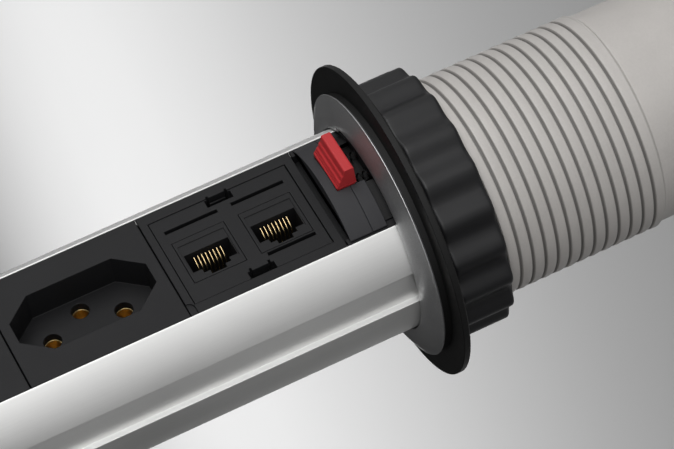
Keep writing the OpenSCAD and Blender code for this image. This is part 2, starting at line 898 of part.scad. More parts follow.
// Shallow notch with a round inner corner where one module is prised off the next
module pry_notch(z) {
    straight = notch_w - notch_l;
    depth = notch_depth + cut_room;
    translate([-front_hw, face_y - cut_room, z - notch_l]) cube([straight, depth, 2 * notch_l]);
    translate([-front_hw + straight, face_y - cut_room, z]) y_rod(notch_l, depth);
}

module data_frame() {
    room = 2 * plate_gap;
    frame_depth = lip_t + wing_t + cut_room;
    color("black") difference() {
        translate([0, 0, first_module_z]) linear_extrude(module_l - module_gap) module_section();
        face_cut(-plate_gap / 2, 0, plate_w + plate_gap, plate_l + room, ledge_y - face_y);
        for (z = [-jack_pitch / 2, jack_pitch / 2])
            face_cut(jack_x, z, jack_w + 2 * jack_room, jack_l + 2 * jack_room, frame_depth);
        for (x = [lower_clip_x, upper_clip_x]) clip_cut(x, clip_depth + clip_sink);
        pry_notch(first_module_z + module_l - module_gap);
    }
}

module data_plate() {
    room = 2 * fit_gap;
    color("black") difference() {
        translate([-plate_w / 2, plate_y, data_z - plate_l / 2]) cube([plate_w, plate_t, plate_l]);
        for (side = [-1, 1]) {
            face_cut(jack_x, side * jack_pitch / 2, jack_w + room, jack_l + room, clip_depth + cut_room);
            face_cut(slot_x, side * jack_pitch / 2, slot_w, slot_l, slot_depth);
        }
        face_cut(low_slot_x, -jack_pitch / 2 - (slot_l - low_slot_l) / 2, slot_w, low_slot_l, slot_depth);
        for (x = [lower_clip_x, upper_clip_x]) clip_cut(x, clip_depth + cut_room);
        face_cut(
            plate_w / 2, 0, 2 * clip_slit_l, clip_tongue_l + 2 * clip_slit_w, clip_depth + cut_room);
    }
}

// Mouth of a jack: the plug's body and two steps for its latch, drawn across the tower
function mouth_outline() =
    let (x0 = mouth_edge_x)
    let (x1 = x0 - mouth_w)
    let (x2 = x1 - latch_step_w)
    let (x3 = x2 - latch_tip_w)
    let (side = [[x0, mouth_l / 2], [x1, mouth_l / 2], [x1, latch_step_l / 2], [x2, latch_step_l / 2],
        [x2, latch_tip_l / 2], [x3, latch_tip_l / 2]])
    concat(side, [for (i = [len(side) - 1:-1:0]) [side[i][0], -side[i][1]]]);

module jack(z) {
    difference() {
        translate([jack_x - jack_w / 2, plate_y, z - jack_l / 2]) cube([jack_w, jack_depth, jack_l]);
        translate([0, plate_y + mouth_depth, z]) rotate([90, 0, 0])
            linear_extrude(mouth_depth + cut_room) polygon(mouth_outline());
        face_cut(
            jack_x + (field_low_margin - field_margin) / 2, z - data_z, jack_w - field_margin - field_low_margin,
            jack_l - field_margin, plate_recess + field_depth);
    }
}

module jack_wires(z) {
    start_x = mouth_edge_x - fit_gap - wire_t;
    end_y = mouth_depth - fit_gap - wire_t;
    last = wire_bends[len(wire_bends) - 1];
    front = concat(
        [for (p = wire_bends) [start_x - p[0], wire_inset + p[1]]], [[start_x - last[0], end_y]]);
    back = [for (i = [len(front) - 1:-1:0]) front[i] + [wire_t, wire_t]];
    for (i = [0:wire_count - 1]) {
        wire_z = z + (i - (wire_count - 1) / 2) * wire_pitch - wire_w / 2;
        translate([0, plate_y, wire_z]) linear_extrude(wire_w) polygon(concat(front, back));
    }
}

module jack_lower() {
    color("black") jack(data_z - jack_pitch / 2);
}

module jack_upper() {
    color("black") jack(data_z + jack_pitch / 2);
}

module jack_wires_lower() {
    color("gold") jack_wires(data_z - jack_pitch / 2);
}

module jack_wires_upper() {
    color("gold") jack_wires(data_z + jack_pitch / 2);
}

// Mains sockets

function mirror_x(p) = [-p[0], p[1]];

// Blunt hexagon of the plug recess, drawn across the tower
function recess_outline() =
    let (hw = recess_w / 2)
    let (hl = recess_l / 2)
    let (corner = [[hw, recess_side_l / 2], [recess_end_w / 2, hl]])
    [corner[0], corner[1], mirror_x(corner[1]), mirror_x(corner[0]),
        -corner[0], -corner[1], -mirror_x(corner[1]), -mirror_x(corner[0])];

// Places its children at the three contacts of a socket
module at_pins(z) {
    for (p = [[0, -pin_pitch / 2], [0, pin_pitch / 2], [earth_offset, 0]])
        translate([p[0], 0, z + p[1]]) children();
}

module power_socket(z) {
    difference() {
        union() {
            translate([0, 0, z - module_l / 2]) linear_extrude(module_l - module_gap) module_section();
            translate([-socket_body_hw, wing_back_y - eps, z - socket_body_l / 2])
                cube([2 * socket_body_hw, floor_back_y - wing_back_y + eps, socket_body_l]);
        }
        translate([0, floor_front_y, z]) rotate([90, 0, 0])
            linear_extrude(recess_depth + cut_room) polygon(recess_outline());
        at_pins(z) translate([0, floor_front_y - cut_room, 0]) y_rod(pin_hole_r, floor_t + 2 * cut_room);
    }
}

module contact_sleeves(z) {
    at_pins(z) translate([0, floor_back_y, 0]) difference() {
        union() {
            y_rod(sleeve_r, sleeve_l);
            translate([-tail_w / 2, sleeve_l - eps, -tail_t / 2]) cube([tail_w, tail_l, tail_t]);
        }
        translate([0, -cut_room, 0]) y_rod(pin_d / 2 + fit_gap, sleeve_l);
    }
}

module socket_back(z) {
    depth = back_y - floor_back_y;
    hollow_hw = socket_body_hw - back_wall;
    hollow_l = socket_body_l - 2 * back_wall;
    difference() {
        translate([-socket_body_hw, floor_back_y, z - socket_body_l / 2])
            cube([2 * socket_body_hw, depth, socket_body_l]);
        translate([-hollow_hw, floor_back_y - cut_room, z - hollow_l / 2])
            cube([2 * hollow_hw, depth + cut_room - back_wall, hollow_l]);
        translate([-back_way / 2, back_y - back_wall - back_way, z - socket_body_l / 2 - cut_room])
            cube([back_way, back_way, socket_body_l + 2 * cut_room]);
    }
}

module power_socket_lower() {
    color("black") power_socket(power_zs[0]);
}

module power_socket_upper() {
    color("black") power_socket(power_zs[1]);
}

module contact_sleeves_lower() {
    color("goldenrod") contact_sleeves(power_zs[0]);
}

module contact_sleeves_upper() {
    color("goldenrod") contact_sleeves(power_zs[1]);
}

module socket_back_lower() {
    color("dimgray") socket_back(power_zs[0]);
}

module socket_back_upper() {
    color("dimgray") socket_back(power_zs[1]);
}

threaded_barrel();
flange_disc();
flange_seal();
collar();
flange_screws();
guide_key_left();
guide_key_right();
latch_housing_lower();
latch_housing_upper();
housing_screws();
latch_screws();
barrel_end_cap();
end_cap_screws();
cable_gland();
gland_locknut();
clamp_washer();
clamp_nut();
tower_profile();
top_cap();
cap_screws();
tower_foot();
foot_screws();
lower_cover();
terminal_block();
terminal_screws();
data_frame();
data_plate();
jack_lower();
jack_upper();
jack_wires_lower();
jack_wires_upper();
power_socket_lower();
power_socket_upper();
contact_sleeves_lower();
contact_sleeves_upper();
socket_back_lower();
socket_back_upper();
release_button();
release_springs();
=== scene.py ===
"""Looks of a pop-up desk socket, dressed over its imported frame.

A D-shaped socket tower slides in a threaded barrel that is clamped through a desk. Each sub-assembly is a
class with its sizes in millimetres, and the finished pieces are in metres in the frame's own axes.
"""
import logging
import math
from dataclasses import dataclass
from enum import Enum
from typing import Sequence

import bmesh
import bpy
from mathutils import Matrix, Vector


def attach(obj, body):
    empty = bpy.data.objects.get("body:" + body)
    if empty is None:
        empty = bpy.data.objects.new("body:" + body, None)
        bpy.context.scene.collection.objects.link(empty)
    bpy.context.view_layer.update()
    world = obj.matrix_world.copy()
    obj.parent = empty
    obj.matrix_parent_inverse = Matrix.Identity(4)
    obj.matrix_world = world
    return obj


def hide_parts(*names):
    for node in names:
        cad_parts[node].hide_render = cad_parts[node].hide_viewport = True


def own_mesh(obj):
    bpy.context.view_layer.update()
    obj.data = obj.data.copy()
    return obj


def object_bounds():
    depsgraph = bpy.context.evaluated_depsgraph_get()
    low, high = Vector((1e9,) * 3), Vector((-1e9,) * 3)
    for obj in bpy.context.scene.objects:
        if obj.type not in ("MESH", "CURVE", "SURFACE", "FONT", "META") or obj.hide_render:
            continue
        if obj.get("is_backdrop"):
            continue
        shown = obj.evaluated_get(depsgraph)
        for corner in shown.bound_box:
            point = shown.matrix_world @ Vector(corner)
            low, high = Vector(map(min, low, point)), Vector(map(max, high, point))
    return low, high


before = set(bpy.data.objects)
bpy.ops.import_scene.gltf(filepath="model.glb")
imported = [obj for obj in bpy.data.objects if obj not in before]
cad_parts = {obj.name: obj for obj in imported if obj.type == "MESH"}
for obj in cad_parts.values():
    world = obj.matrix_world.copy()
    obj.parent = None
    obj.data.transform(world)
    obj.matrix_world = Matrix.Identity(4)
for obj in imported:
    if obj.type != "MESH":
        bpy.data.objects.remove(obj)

Point2 = tuple[float, float]
Point3 = tuple[float, float, float]
Colour = tuple[float, float, float, float]
Piece = bpy.types.Object
Material = bpy.types.Material
Socket = bpy.types.NodeSocket
Shape = bmesh.types.BMesh
Vert = bmesh.types.BMVert
Ring = list[Vert]

MM = 0.001
QUARTER = math.pi / 2
log = logging.getLogger("desk_socket")

# Attribute that marks sunk places of a piece, where painted shade darkens the colour: the thread's grooves
# and the housing's slot and foot recess
PAINTED_SHADE_MARK = "groove"

# Patterns of the finishes
DRAWN_STRETCH = 220.0
TURNED_STRETCH = 12.0
COLOUR_SPAN = (0.35, 0.65)
GLOSS_SPAN = (0.3, 0.7)
CLOUD_DETAIL = 3.0
FINE_DETAIL = 4.0
FINE_ROUGHNESS = 0.6

# Sockets of a colour mix
MIX_FACTOR, MIX_FIRST, MIX_SECOND, MIX_RESULT = 0, 6, 7, 2

# Working of meshes, in millimetres and degrees
CUT_ROOM = 1.0
WELD = 0.002
SAME_RADIUS = 0.02
FLAT_ANGLE = 0.6
ROUND_ANGLE = 34.0
ROUND_FACES = 2


class NodeKit:
    """Short ways of adding nodes to a tree and joining them."""

    def __init__(self, group: bpy.types.NodeTree) -> None:
        """Work on one tree."""
        self.group = group

    def feed(self, socket: Socket, value: object) -> None:
        """Link a socket to another, or set its plain value.

        Args:
            socket: The socket to feed.
            value: Another socket or a plain value.
        """
        if isinstance(value, Socket):
            self.group.links.new(value, socket)
        else:
            socket.default_value = value

    def node(self, kind: str, **inputs: object) -> bpy.types.Node:
        """Add a node and feed its inputs by name.

        Args:
            kind: Type name of the node.
            **inputs: Sockets or plain values, with an underscore for a space in the input's name.

        Returns:
            The node.
        """
        made = self.group.nodes.new(kind)
        for name, value in inputs.items():
            self.feed(made.inputs[name.replace("_", " ")], value)
        return made

    def math(self, operation: str, *values: object) -> Socket:
        """Add a Math node.

        Args:
            operation: The node's operation.
            *values: Sockets or plain numbers for its inputs.

        Returns:
            The result's socket.
        """
        made = self.node("ShaderNodeMath")
        made.operation = operation
        for socket, value in zip(made.inputs, values):
            self.feed(socket, value)
        return made.outputs["Value"]

    def ramp(self, value: Socket, *stops: tuple[float, Colour]) -> Socket:
        """Add a ramp between two colours.

        Args:
            value: What is measured.
            *stops: Two values with their colours.

        Returns:
            The colour's socket.
        """
        made = self.node("ShaderNodeValToRGB", Fac=value)
        for element, (position, colour) in zip(made.color_ramp.elements, stops):
            element.position = position
            element.color = colour
        return made.outputs["Color"]


class Grain(Enum):
    """Kind of fine relief that a finish carries."""

    MOULDED = "moulded"
    DRAWN = "drawn"
    FLAKE = "flake"
    TURNED = "turned"


@dataclass(frozen=True)
class Finish:
    """Surface finish of one material slot, with its relief and colour variation from nodes."""

    slot: str
    colour: Point3
    roughness: float
    metallic: float = 0.0
    specular: float = 0.5
    coat: float = 0.0
    coat_roughness: float = 0.3
    grain: Grain = Grain.MOULDED
    grain_mm: float = 0.3
    relief: float = 0.15
    relief_mm: float = 0.03
    mottle: float = 0.06
    mottle_mm: float = 9.0
    rough_swing: float = 0.06
    # Share of the colour that is left where painted shade darkens the marked sunk places
    painted_shade: float = 1.0

    def stretch(self) -> Point3:
        """Work out the grain's scale along each axis.

        Returns:
            Cells a metre along X, Y and Z.
        """
        cell = 1.0 / (self.grain_mm * MM)
        if self.grain is Grain.DRAWN:
            return (cell, cell, cell / DRAWN_STRETCH)
        if self.grain is Grain.TURNED:
            return (cell / TURNED_STRETCH, cell / TURNED_STRETCH, cell)
        return (cell, cell, cell)

    def shade(self, share: float) -> Colour:
        """Share of the finish's own colour, with full opacity."""
        red, green, blue = (min(1.0, part * share) for part in self.colour)
        return (red, green, blue, 1.0)

    def material(self) -> Material:
        """Make the finish's material once and hand out the same one after that.

        Returns:
            The material, with Object coordinates behind every pattern.
        """
        label = "finish_" + self.slot
        found = bpy.data.materials.get(label)
        if found is not None:
            return found
        made = bpy.data.materials.new(label)
        made.use_nodes = True
        made.diffuse_color = self.shade(1.0)
        kit = NodeKit(made.node_tree)
        place = kit.node("ShaderNodeTexCoord").outputs["Object"]
        stretched = kit.node("ShaderNodeMapping", Vector=place, Scale=self.stretch())
        fine = self.fine_pattern(kit, stretched.outputs["Vector"])
        cloud = kit.node("ShaderNodeTexNoise", Vector=place, Scale=1.0 / (self.mottle_mm * MM),
                         Detail=CLOUD_DETAIL)
        mean = kit.math("MULTIPLY", kit.math("ADD", cloud.outputs["Fac"], fine), 0.5)
        colour = kit.ramp(mean, (COLOUR_SPAN[0], self.shade(1.0 - self.mottle)),
                          (COLOUR_SPAN[1], self.shade(1.0 + self.mottle)))
        # Painted shade: the colour is darker where the piece is marked as sunk
        if self.painted_shade < 1.0:
            colour = self.paint_marked_shade(kit, colour)
        gloss = kit.node("ShaderNodeMapRange", Value=mean, From_Min=GLOSS_SPAN[0], From_Max=GLOSS_SPAN[1],
                         To_Min=self.roughness - self.rough_swing, To_Max=self.roughness + self.rough_swing)
        bump = kit.node("ShaderNodeBump", Strength=self.relief, Distance=self.relief_mm * MM, Height=fine)
        shader = made.node_tree.nodes["Principled BSDF"]
        for name, value in (
            ("Base Color", colour),
            ("Metallic", self.metallic),
            ("Roughness", gloss.outputs["Result"]),
            ("Specular IOR Level", self.specular),
            ("Coat Weight", self.coat),
            ("Coat Roughness", self.coat_roughness),
            ("Normal", bump.outputs["Normal"]),
        ):
            kit.feed(shader.inputs[name], value)
        return made

    def fine_pattern(self, kit: NodeKit, vector: Socket) -> Socket:
        """Add the fine relief's texture.

        Args:
            kit: The material's nodes.
            vector: Stretched Object coordinates.

        Returns:
            A value of about 0 to 1 that follows the grain.
        """
        if self.grain is Grain.FLAKE:
            cells = kit.node("ShaderNodeTexVoronoi", Vector=vector, Scale=1.0)
            return kit.node("ShaderNodeSeparateColor", Color=cells.outputs["Color"]).outputs["Red"]
        noise = kit.node("ShaderNodeTexNoise", Vector=vector, Scale=1.0, Detail=FINE_DETAIL,
                         Roughness=FINE_ROUGHNESS)
        return noise.outputs["Fac"]

    def paint_marked_shade(self, kit: NodeKit, colour: Socket) -> Socket:
        """Paint shade into a colour, darker where a piece is marked as sunk.

        Args:
            kit: The material's nodes.
            colour: The colour elsewhere.

        Returns:
            The mixed colour.
        """
        sunk = kit.node("ShaderNodeAttribute")
        sunk.attribute_name = PAINTED_SHADE_MARK
        tint = kit.node("ShaderNodeMix")
        tint.data_type = "RGBA"
        kit.feed(tint.inputs[MIX_FACTOR], sunk.outputs["Fac"])
        kit.feed(tint.inputs[MIX_FIRST], colour)
        kit.feed(tint.inputs[MIX_SECOND], self.shade(self.painted_shade))
        return tint.outputs[MIX_RESULT]


FINISHES: dict[str, Finish] = {
    finish.slot: finish
    for finish in (
        Finish("satin_aluminium", (0.88, 0.88, 0.87), 0.56, metallic=1.0, grain=Grain.DRAWN, grain_mm=0.12,
               relief=0.10, relief_mm=0.01, mottle=0.03, mottle_mm=30.0, rough_swing=0.05),
        Finish("satin_silver", (0.46, 0.462, 0.468), 0.42, metallic=0.85, coat=0.25, coat_roughness=0.14,
               grain=Grain.FLAKE, grain_mm=0.16, relief=0.10, relief_mm=0.02, mottle=0.08, mottle_mm=14.0),
        Finish("disc_black", (0.006, 0.006, 0.006), 0.50, specular=0.3, grain_mm=0.2, relief=0.10,
               relief_mm=0.02),
        Finish("nut_black", (0.008, 0.008, 0.009), 0.40, specular=0.45, grain_mm=0.5, relief=0.08,
               relief_mm=0.03),
        # Painted shade darkens the thread's grooves
        Finish("off_white", (0.52, 0.497, 0.475), 0.45, grain_mm=0.6, relief=0.08, relief_mm=0.03,
               mottle=0.04, painted_shade=0.3),
        Finish("seal_rubber", (0.03, 0.03, 0.03), 0.75, grain_mm=0.4, relief=0.25, relief_mm=0.04),
        # Painted shade darkens the button's slot and the foot's recess
        Finish("housing_grey", (0.026, 0.026, 0.029), 0.54, specular=0.35, grain_mm=0.22, relief=0.22,
               relief_mm=0.03, painted_shade=0.1),
        Finish("key_plastic", (0.05, 0.05, 0.05), 0.52, grain_mm=0.3, relief=0.15),
        Finish("button_red", (0.50, 0.034, 0.038), 0.52, specular=0.3, grain_mm=0.25, relief=0.10,
               relief_mm=0.02, mottle=0.05),
        Finish("outlet_black", (0.010, 0.010, 0.011), 0.54, specular=0.25, grain_mm=0.22, relief=0.22,
               relief_mm=0.03),
        Finish("back_grey", (0.09, 0.09, 0.09), 0.55, grain_mm=0.3),
        Finish("terminal_white", (0.72, 0.72, 0.69), 0.50, grain_mm=0.4, mottle=0.03),
        Finish("contact_gold", (0.86, 0.67, 0.36), 0.24, metallic=1.0, grain=Grain.DRAWN, grain_mm=0.1,
               relief=0.05, relief_mm=0.01),
        Finish("contact_brass", (0.74, 0.56, 0.26), 0.32, metallic=1.0, grain=Grain.TURNED, grain_mm=0.15,
               relief=0.08, relief_mm=0.01),
        Finish("screw_steel", (0.52, 0.52, 0.52), 0.34, metallic=1.0, grain=Grain.TURNED, grain_mm=0.1,
               relief=0.08, relief_mm=0.01),
        Finish("spring_dark", (0.025, 0.025, 0.025), 0.55, metallic=1.0, grain=Grain.TURNED, grain_mm=0.1,
               relief=0.08, relief_mm=0.01),
    )
}


def on_circle(radius: float, turn: float) -> Point2:
    """Point at a radius and an angle in radians from the first axis."""
    return (radius * math.cos(turn), radius * math.sin(turn))


def arc(centre: Point2, radius: float, start: int, end: int, steps: int) -> list[Point2]:
    """Lay out a round stretch of a section.

    Args:
        centre: Its centre, as radius and height.
        radius: Its own radius.
        start: Quarter turn where it starts, from the outward direction.
        end: Quarter turn where it ends.
        steps: Number of stretches between its points.

    Returns:
        The points from start to end.
    """
    points = []
    for step in range(steps + 1):
        x, y = on_circle(radius, QUARTER * (start + (end - start) * step / steps))
        points.append((centre[0] + x, centre[1] + y))
    return points


class Shop:
    """Ways of making and placing meshes that every sub-assembly shares."""

    pieces: list[str] = []

    @staticmethod
    def to_object(name: str, shape: Shape) -> Piece:
        """Turn a working mesh in millimetres into an object in metres.

        Args:
            name: Name of the object.
            shape: The working mesh, which is freed.

        Returns:
            The linked object.
        """
        mesh = bpy.data.meshes.new(name)
        bmesh.ops.scale(shape, vec=(MM, MM, MM), verts=shape.verts)
        shape.to_mesh(mesh)
        shape.free()
        made = bpy.data.objects.new(name, mesh)
        bpy.context.scene.collection.objects.link(made)
        return made

    @staticmethod
    def smooth(piece: Piece, angle: float) -> None:
        """Shade a piece smooth but for its edges sharper than an angle in degrees."""
        piece.data.shade_smooth()
        piece.data.set_sharp_from_angle(angle=math.radians(angle))

    @classmethod
    def dress(cls, piece: Piece, slot: str, body: str, node: str) -> None:
        """Give a piece its finish and its body, in place of a CAD node.

        Args:
            piece: The finished piece.
            slot: Material slot of the record.
            body: Body that the piece moves with.
            node: CAD node that it stands for.
        """
        piece.data.materials.clear()
        piece.data.materials.append(FINISHES[slot].material())
        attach(piece, body)
        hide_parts(node)
        cls.pieces.append(piece.name)
        log.info("%s: %d faces on %s", piece.name, len(piece.data.polygons), body)

    @staticmethod
    def ring(shape: Shape, radius: float, height: float, steps: int) -> Ring:
        """Lay a ring of points round Z at a radius and a height, from the front on."""
        turns = [math.tau * step / steps - QUARTER for step in range(steps)]
        return [shape.verts.new((*on_circle(radius, turn), height)) for turn in turns]

    @staticmethod
    def bridge(shape: Shape, rings: Sequence[Ring]) -> None:
        """Join each ring to the next with faces.

        Args:
            shape: The working mesh.
            rings: Rings with the same number of points.
        """
        for ring, following in zip(rings, rings[1:]):
            for step in range(len(ring)):
                after = (step + 1) % len(ring)
                shape.faces.new((ring[step], ring[after], following[after], following[step]))

    @classmethod
    def revolve(cls, outline: Sequence[Point2], steps: int) -> Shape:
        """Turn a closed outline round Z.

        Args:
            outline: Points (radius, height) round the section.
            steps: Number of faces round the axis.

        Returns:
            A closed working mesh in millimetres.
        """
        shape = bmesh.new()
        rings = [cls.ring(shape, radius, height, steps) for radius, height in outline]
        cls.bridge(shape, rings + rings[:1])
        bmesh.ops.recalc_face_normals(shape, faces=shape.faces)
        return shape

    @classmethod
    def rod(cls, name: str, shape: Shape, rings: Sequence[Ring], angle: float) -> Piece:
        """Join rings into a rod that is closed at both ends.

        Args:
            name: Name of the object.
            shape: The working mesh with the rings' points.
            rings: Rings with the same number of points.
            angle: Least angle of an edge that stays sharp, in degrees.

        Returns:
            The rod as an object.
        """
        cls.bridge(shape, rings)
        shape.faces.new(list(reversed(rings[0])))
        shape.faces.new(rings[-1])
        bmesh.ops.recalc_face_normals(shape, faces=shape.faces)
        made = cls.to_object(name, shape)
        cls.smooth(made, angle)
        return made

    @staticmethod
    def soften_edges(shape: Shape, width: float, angle: float) -> None:
        """Round every edge of a closed mesh that is sharper than an angle.

        Args:
            shape: The working mesh.
            width: Width of the rounding, in the mesh's own unit.
            angle: Least angle between an edge's faces, in degrees.
        """
        limit = math.radians(angle)
        sharp = [edge for edge in shape.edges if len(edge.link_faces) == 2 and edge.calc_face_angle() > limit]
        bmesh.ops.bevel(shape, geom=sharp, offset=width, offset_type="OFFSET", segments=ROUND_FACES,
                        profile=0.5, affect="EDGES", clamp_overlap=False)

    @classmethod
    def node_copy(cls, node: str, tools: Sequence[Piece] = ()) -> Shape:
        """Copy a CAD node into a working mesh in millimetres.

        Args:
            node: The node to copy.
            tools: Closed shapes to take away.

        Returns:
            The working mesh.
        """
        plain = bpy.data.objects.new(node + "_plain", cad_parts[node].data.copy())
        bpy.context.scene.collection.objects.link(plain)
        cls.carve(plain, tools)
        shape = bmesh.new()
        shape.from_mesh(plain.data)
        bpy.data.objects.remove(plain)
        bmesh.ops.scale(shape, vec=(1 / MM, 1 / MM, 1 / MM), verts=shape.verts)
        bmesh.ops.remove_doubles(shape, verts=shape.verts, dist=WELD)
        return shape

    @classmethod
    def softened(cls, node: str, width: float, angle: float = ROUND_ANGLE,
                 tools: Sequence[Piece] = ()) -> Piece:
        """Copy a CAD node with its edges rounded, within its own box, and its flat faces shaded flat.

        Args:
            node: The node to copy.
            width: Width of the rounding in millimetres.
            angle: Least angle of an edge that is rounded, in degrees.
            tools: Closed shapes to take away first.

        Returns:
            The new piece, not yet dressed.
        """
        shape = cls.node_copy(node, tools)
        bmesh.ops.dissolve_limit(shape, angle_limit=math.radians(FLAT_ANGLE), verts=shape.verts,
                                 edges=shape.edges)
        low = [min(vert.co[axis] for vert in shape.verts) for axis in range(3)]
        high = [max(vert.co[axis] for vert in shape.verts) for axis in range(3)]
        cls.soften_edges(shape, width, angle)
        for vert in shape.verts:
            vert.co = [min(max(vert.co[axis], low[axis]), high[axis]) for axis in range(3)]
        made = cls.to_object(node + "_round", shape)
        cls.smooth(made, angle=38.0)
        even = made.modifiers.new("even", "WEIGHTED_NORMAL")
        even.weight = 100
        even.keep_sharp = True
        cls.flatten(made)
        return made

    @classmethod
    def round_off(cls, node: str, slot: str, body: str, width: float, angle: float = ROUND_ANGLE) -> None:
        """Put a copy with edges rounded by a width in millimetres in a CAD node's place."""
        cls.dress(cls.softened(node, width, angle), slot, body, node)

    @staticmethod
    def flatten(piece: Piece) -> None:
        """Turn a piece and its modifiers into a plain mesh, and remove the modifiers.

        Args:
            piece: The piece, which keeps its name.
        """
        graph = bpy.context.evaluated_depsgraph_get()
        graph.update()
        plain = bpy.data.meshes.new_from_object(piece.evaluated_get(graph), preserve_all_data_layers=True,
                                                depsgraph=graph)
        piece.modifiers.clear()
        piece.data = plain

    @classmethod
    def carve(cls, piece: Piece, tools: Sequence[Piece]) -> None:
        """Cut other shapes out of a piece and delete them.

        Args:
            piece: The piece to cut.
            tools: Closed shapes to take away.
        """
        for tool in tools:
            cut = piece.modifiers.new("cut", "BOOLEAN")
            cut.operation = "DIFFERENCE"
            cut.solver = "EXACT"
            cut.object = tool
        cls.flatten(piece)
        for tool in tools:
            bpy.data.objects.remove(tool)

    @classmethod
    def block(cls, name: str, low: Point3, high: Point3, turn: float) -> Piece:
        """Make a plain block to cut with.

        Args:
            name: Name of the block.
            low: Its lowest corner in millimetres.
            high: Its highest corner in millimetres.
            turn: Turn about Z in degrees.

        Returns:
            The block as an object.
        """
        shape = bmesh.new()
        bmesh.ops.create_cube(shape, size=1.0)
        bmesh.ops.scale(shape, vec=Vector(high) - Vector(low), verts=shape.verts)
        bmesh.ops.translate(shape, vec=(Vector(high) + Vector(low)) / 2, verts=shape.verts)
        bmesh.ops.rotate(shape, matrix=Matrix.Rotation(math.radians(turn), 3, "Z"), verts=shape.verts)
        return cls.to_object(name, shape)


class Tree(NodeKit):
    """A Geometry Nodes tree with named inputs, run once on one object."""

    kinds = {float: "NodeSocketFloat", int: "NodeSocketInt"}

    def __init__(self, name: str) -> None:
        """Start an empty tree with its geometry sockets.

        Args:
            name: Name of the tree.
        """
        super().__init__(bpy.data.node_groups.new(name, "GeometryNodeTree"))
        for way in ("INPUT", "OUTPUT"):
            self.group.interface.new_socket("Geometry", in_out=way, socket_type="NodeSocketGeometry")
        self.source = self.node("NodeGroupInput")
        self.sink = self.node("NodeGroupOutput")
        self.values: dict[str, object] = {}

    def given(self, name: str, value: object) -> Socket:
        """Add a named input for a size, a count or an object.

        Args:
            name: Name of the input.
            value: Value for this piece.

        Returns:
            The input's socket inside the tree.
        """
        kind = self.kinds.get(type(value), "NodeSocketObject")
        socket = self.group.interface.new_socket(name, in_out="INPUT", socket_type=kind)
        self.values[socket.identifier] = value
        return self.source.outputs[name]

    def fade(self, value: object, low: object, high: object) -> Socket:
        """Add a smooth step from 0 at low to 1 at high.

        Args:
            value: What is measured.
            low: Where the step starts.
            high: Where it ends.

        Returns:
            The step's socket.
        """
        made = self.node("ShaderNodeMapRange", Value=value, From_Min=low, From_Max=high)
        made.interpolation_type = "SMOOTHSTEP"
        return made.outputs["Result"]

    def polar(self) -> tuple[Socket, Socket, Socket]:
        """Read each point's radius and height in millimetres and its angle in radians.

        Returns:
            Radius, angle and height.
        """
        where = self.node("GeometryNodeInputPosition")
        parts = self.node("ShaderNodeSeparateXYZ", Vector=where.outputs["Position"])
        across = parts.outputs["X"]
        along = parts.outputs["Y"]
        squares = self.math("ADD", self.math("MULTIPLY", across, across), self.math("MULTIPLY", along, along))
        radius = self.math("MULTIPLY", self.math("SQRT", squares), 1.0 / MM)
        angle = self.math("ARCTAN2", along, across)
        height = self.math("MULTIPLY", parts.outputs["Z"], 1.0 / MM)
        return radius, angle, height

    def push(self, geometry: Socket, radius: Socket,
             outwards: Socket) -> Socket:
        """Move each point along its radius.

        Args:
            geometry: The mesh to move.
            radius: Its points' radius in millimetres.
            outwards: How far each point goes out, in millimetres.

        Returns:
            The moved mesh.
        """
        where = self.node("GeometryNodeInputPosition")
        share = self.math("DIVIDE", self.math("ADD", radius, outwards), radius)
        factors = self.node("ShaderNodeCombineXYZ", X=share, Y=share, Z=1.0)
        scaled = self.node("ShaderNodeVectorMath")
        scaled.operation = "MULTIPLY"
        self.feed(scaled.inputs[0], where.outputs["Position"])
        self.feed(scaled.inputs[1], factors.outputs["Vector"])
        moved = self.node("GeometryNodeSetPosition", Geometry=geometry, Position=scaled.outputs["Vector"])
        return moved.outputs["Geometry"]

    def copies(self, points: Socket, model: Piece,
               **inputs: object) -> Socket:
        """Repeat an object at points.

        Args:
            points: Where the copies go.
            model: The object to repeat.
            **inputs: More inputs of the node that places the copies.

        Returns:
            The copies.
        """
        info = self.node("GeometryNodeObjectInfo", Object=self.given("Model", model))
        placed = self.node("GeometryNodeInstanceOnPoints", Points=points, Instance=info.outputs["Geometry"],
                           **inputs)
        return placed.outputs["Instances"]

    def run(self, piece: Piece, geometry: Socket, slot: str) -> None:
        """Close the tree, run it on a piece and keep the plain mesh.

        Args:
            piece: Object whose mesh goes through the tree.
            geometry: The tree's last geometry.
            slot: Material slot of the result.
        """
        real = self.node("GeometryNodeRealizeInstances", Geometry=geometry)
        dressed = self.node("GeometryNodeSetMaterial", Geometry=real.outputs["Geometry"],
                            Material=FINISHES[slot].material())
        self.feed(self.sink.inputs["Geometry"], dressed.outputs["Geometry"])
        step = piece.modifiers.new(self.group.name, "NODES")
        step.node_group = self.group
        for identifier, value in self.values.items():
            step[identifier] = value
        Shop.flatten(piece)


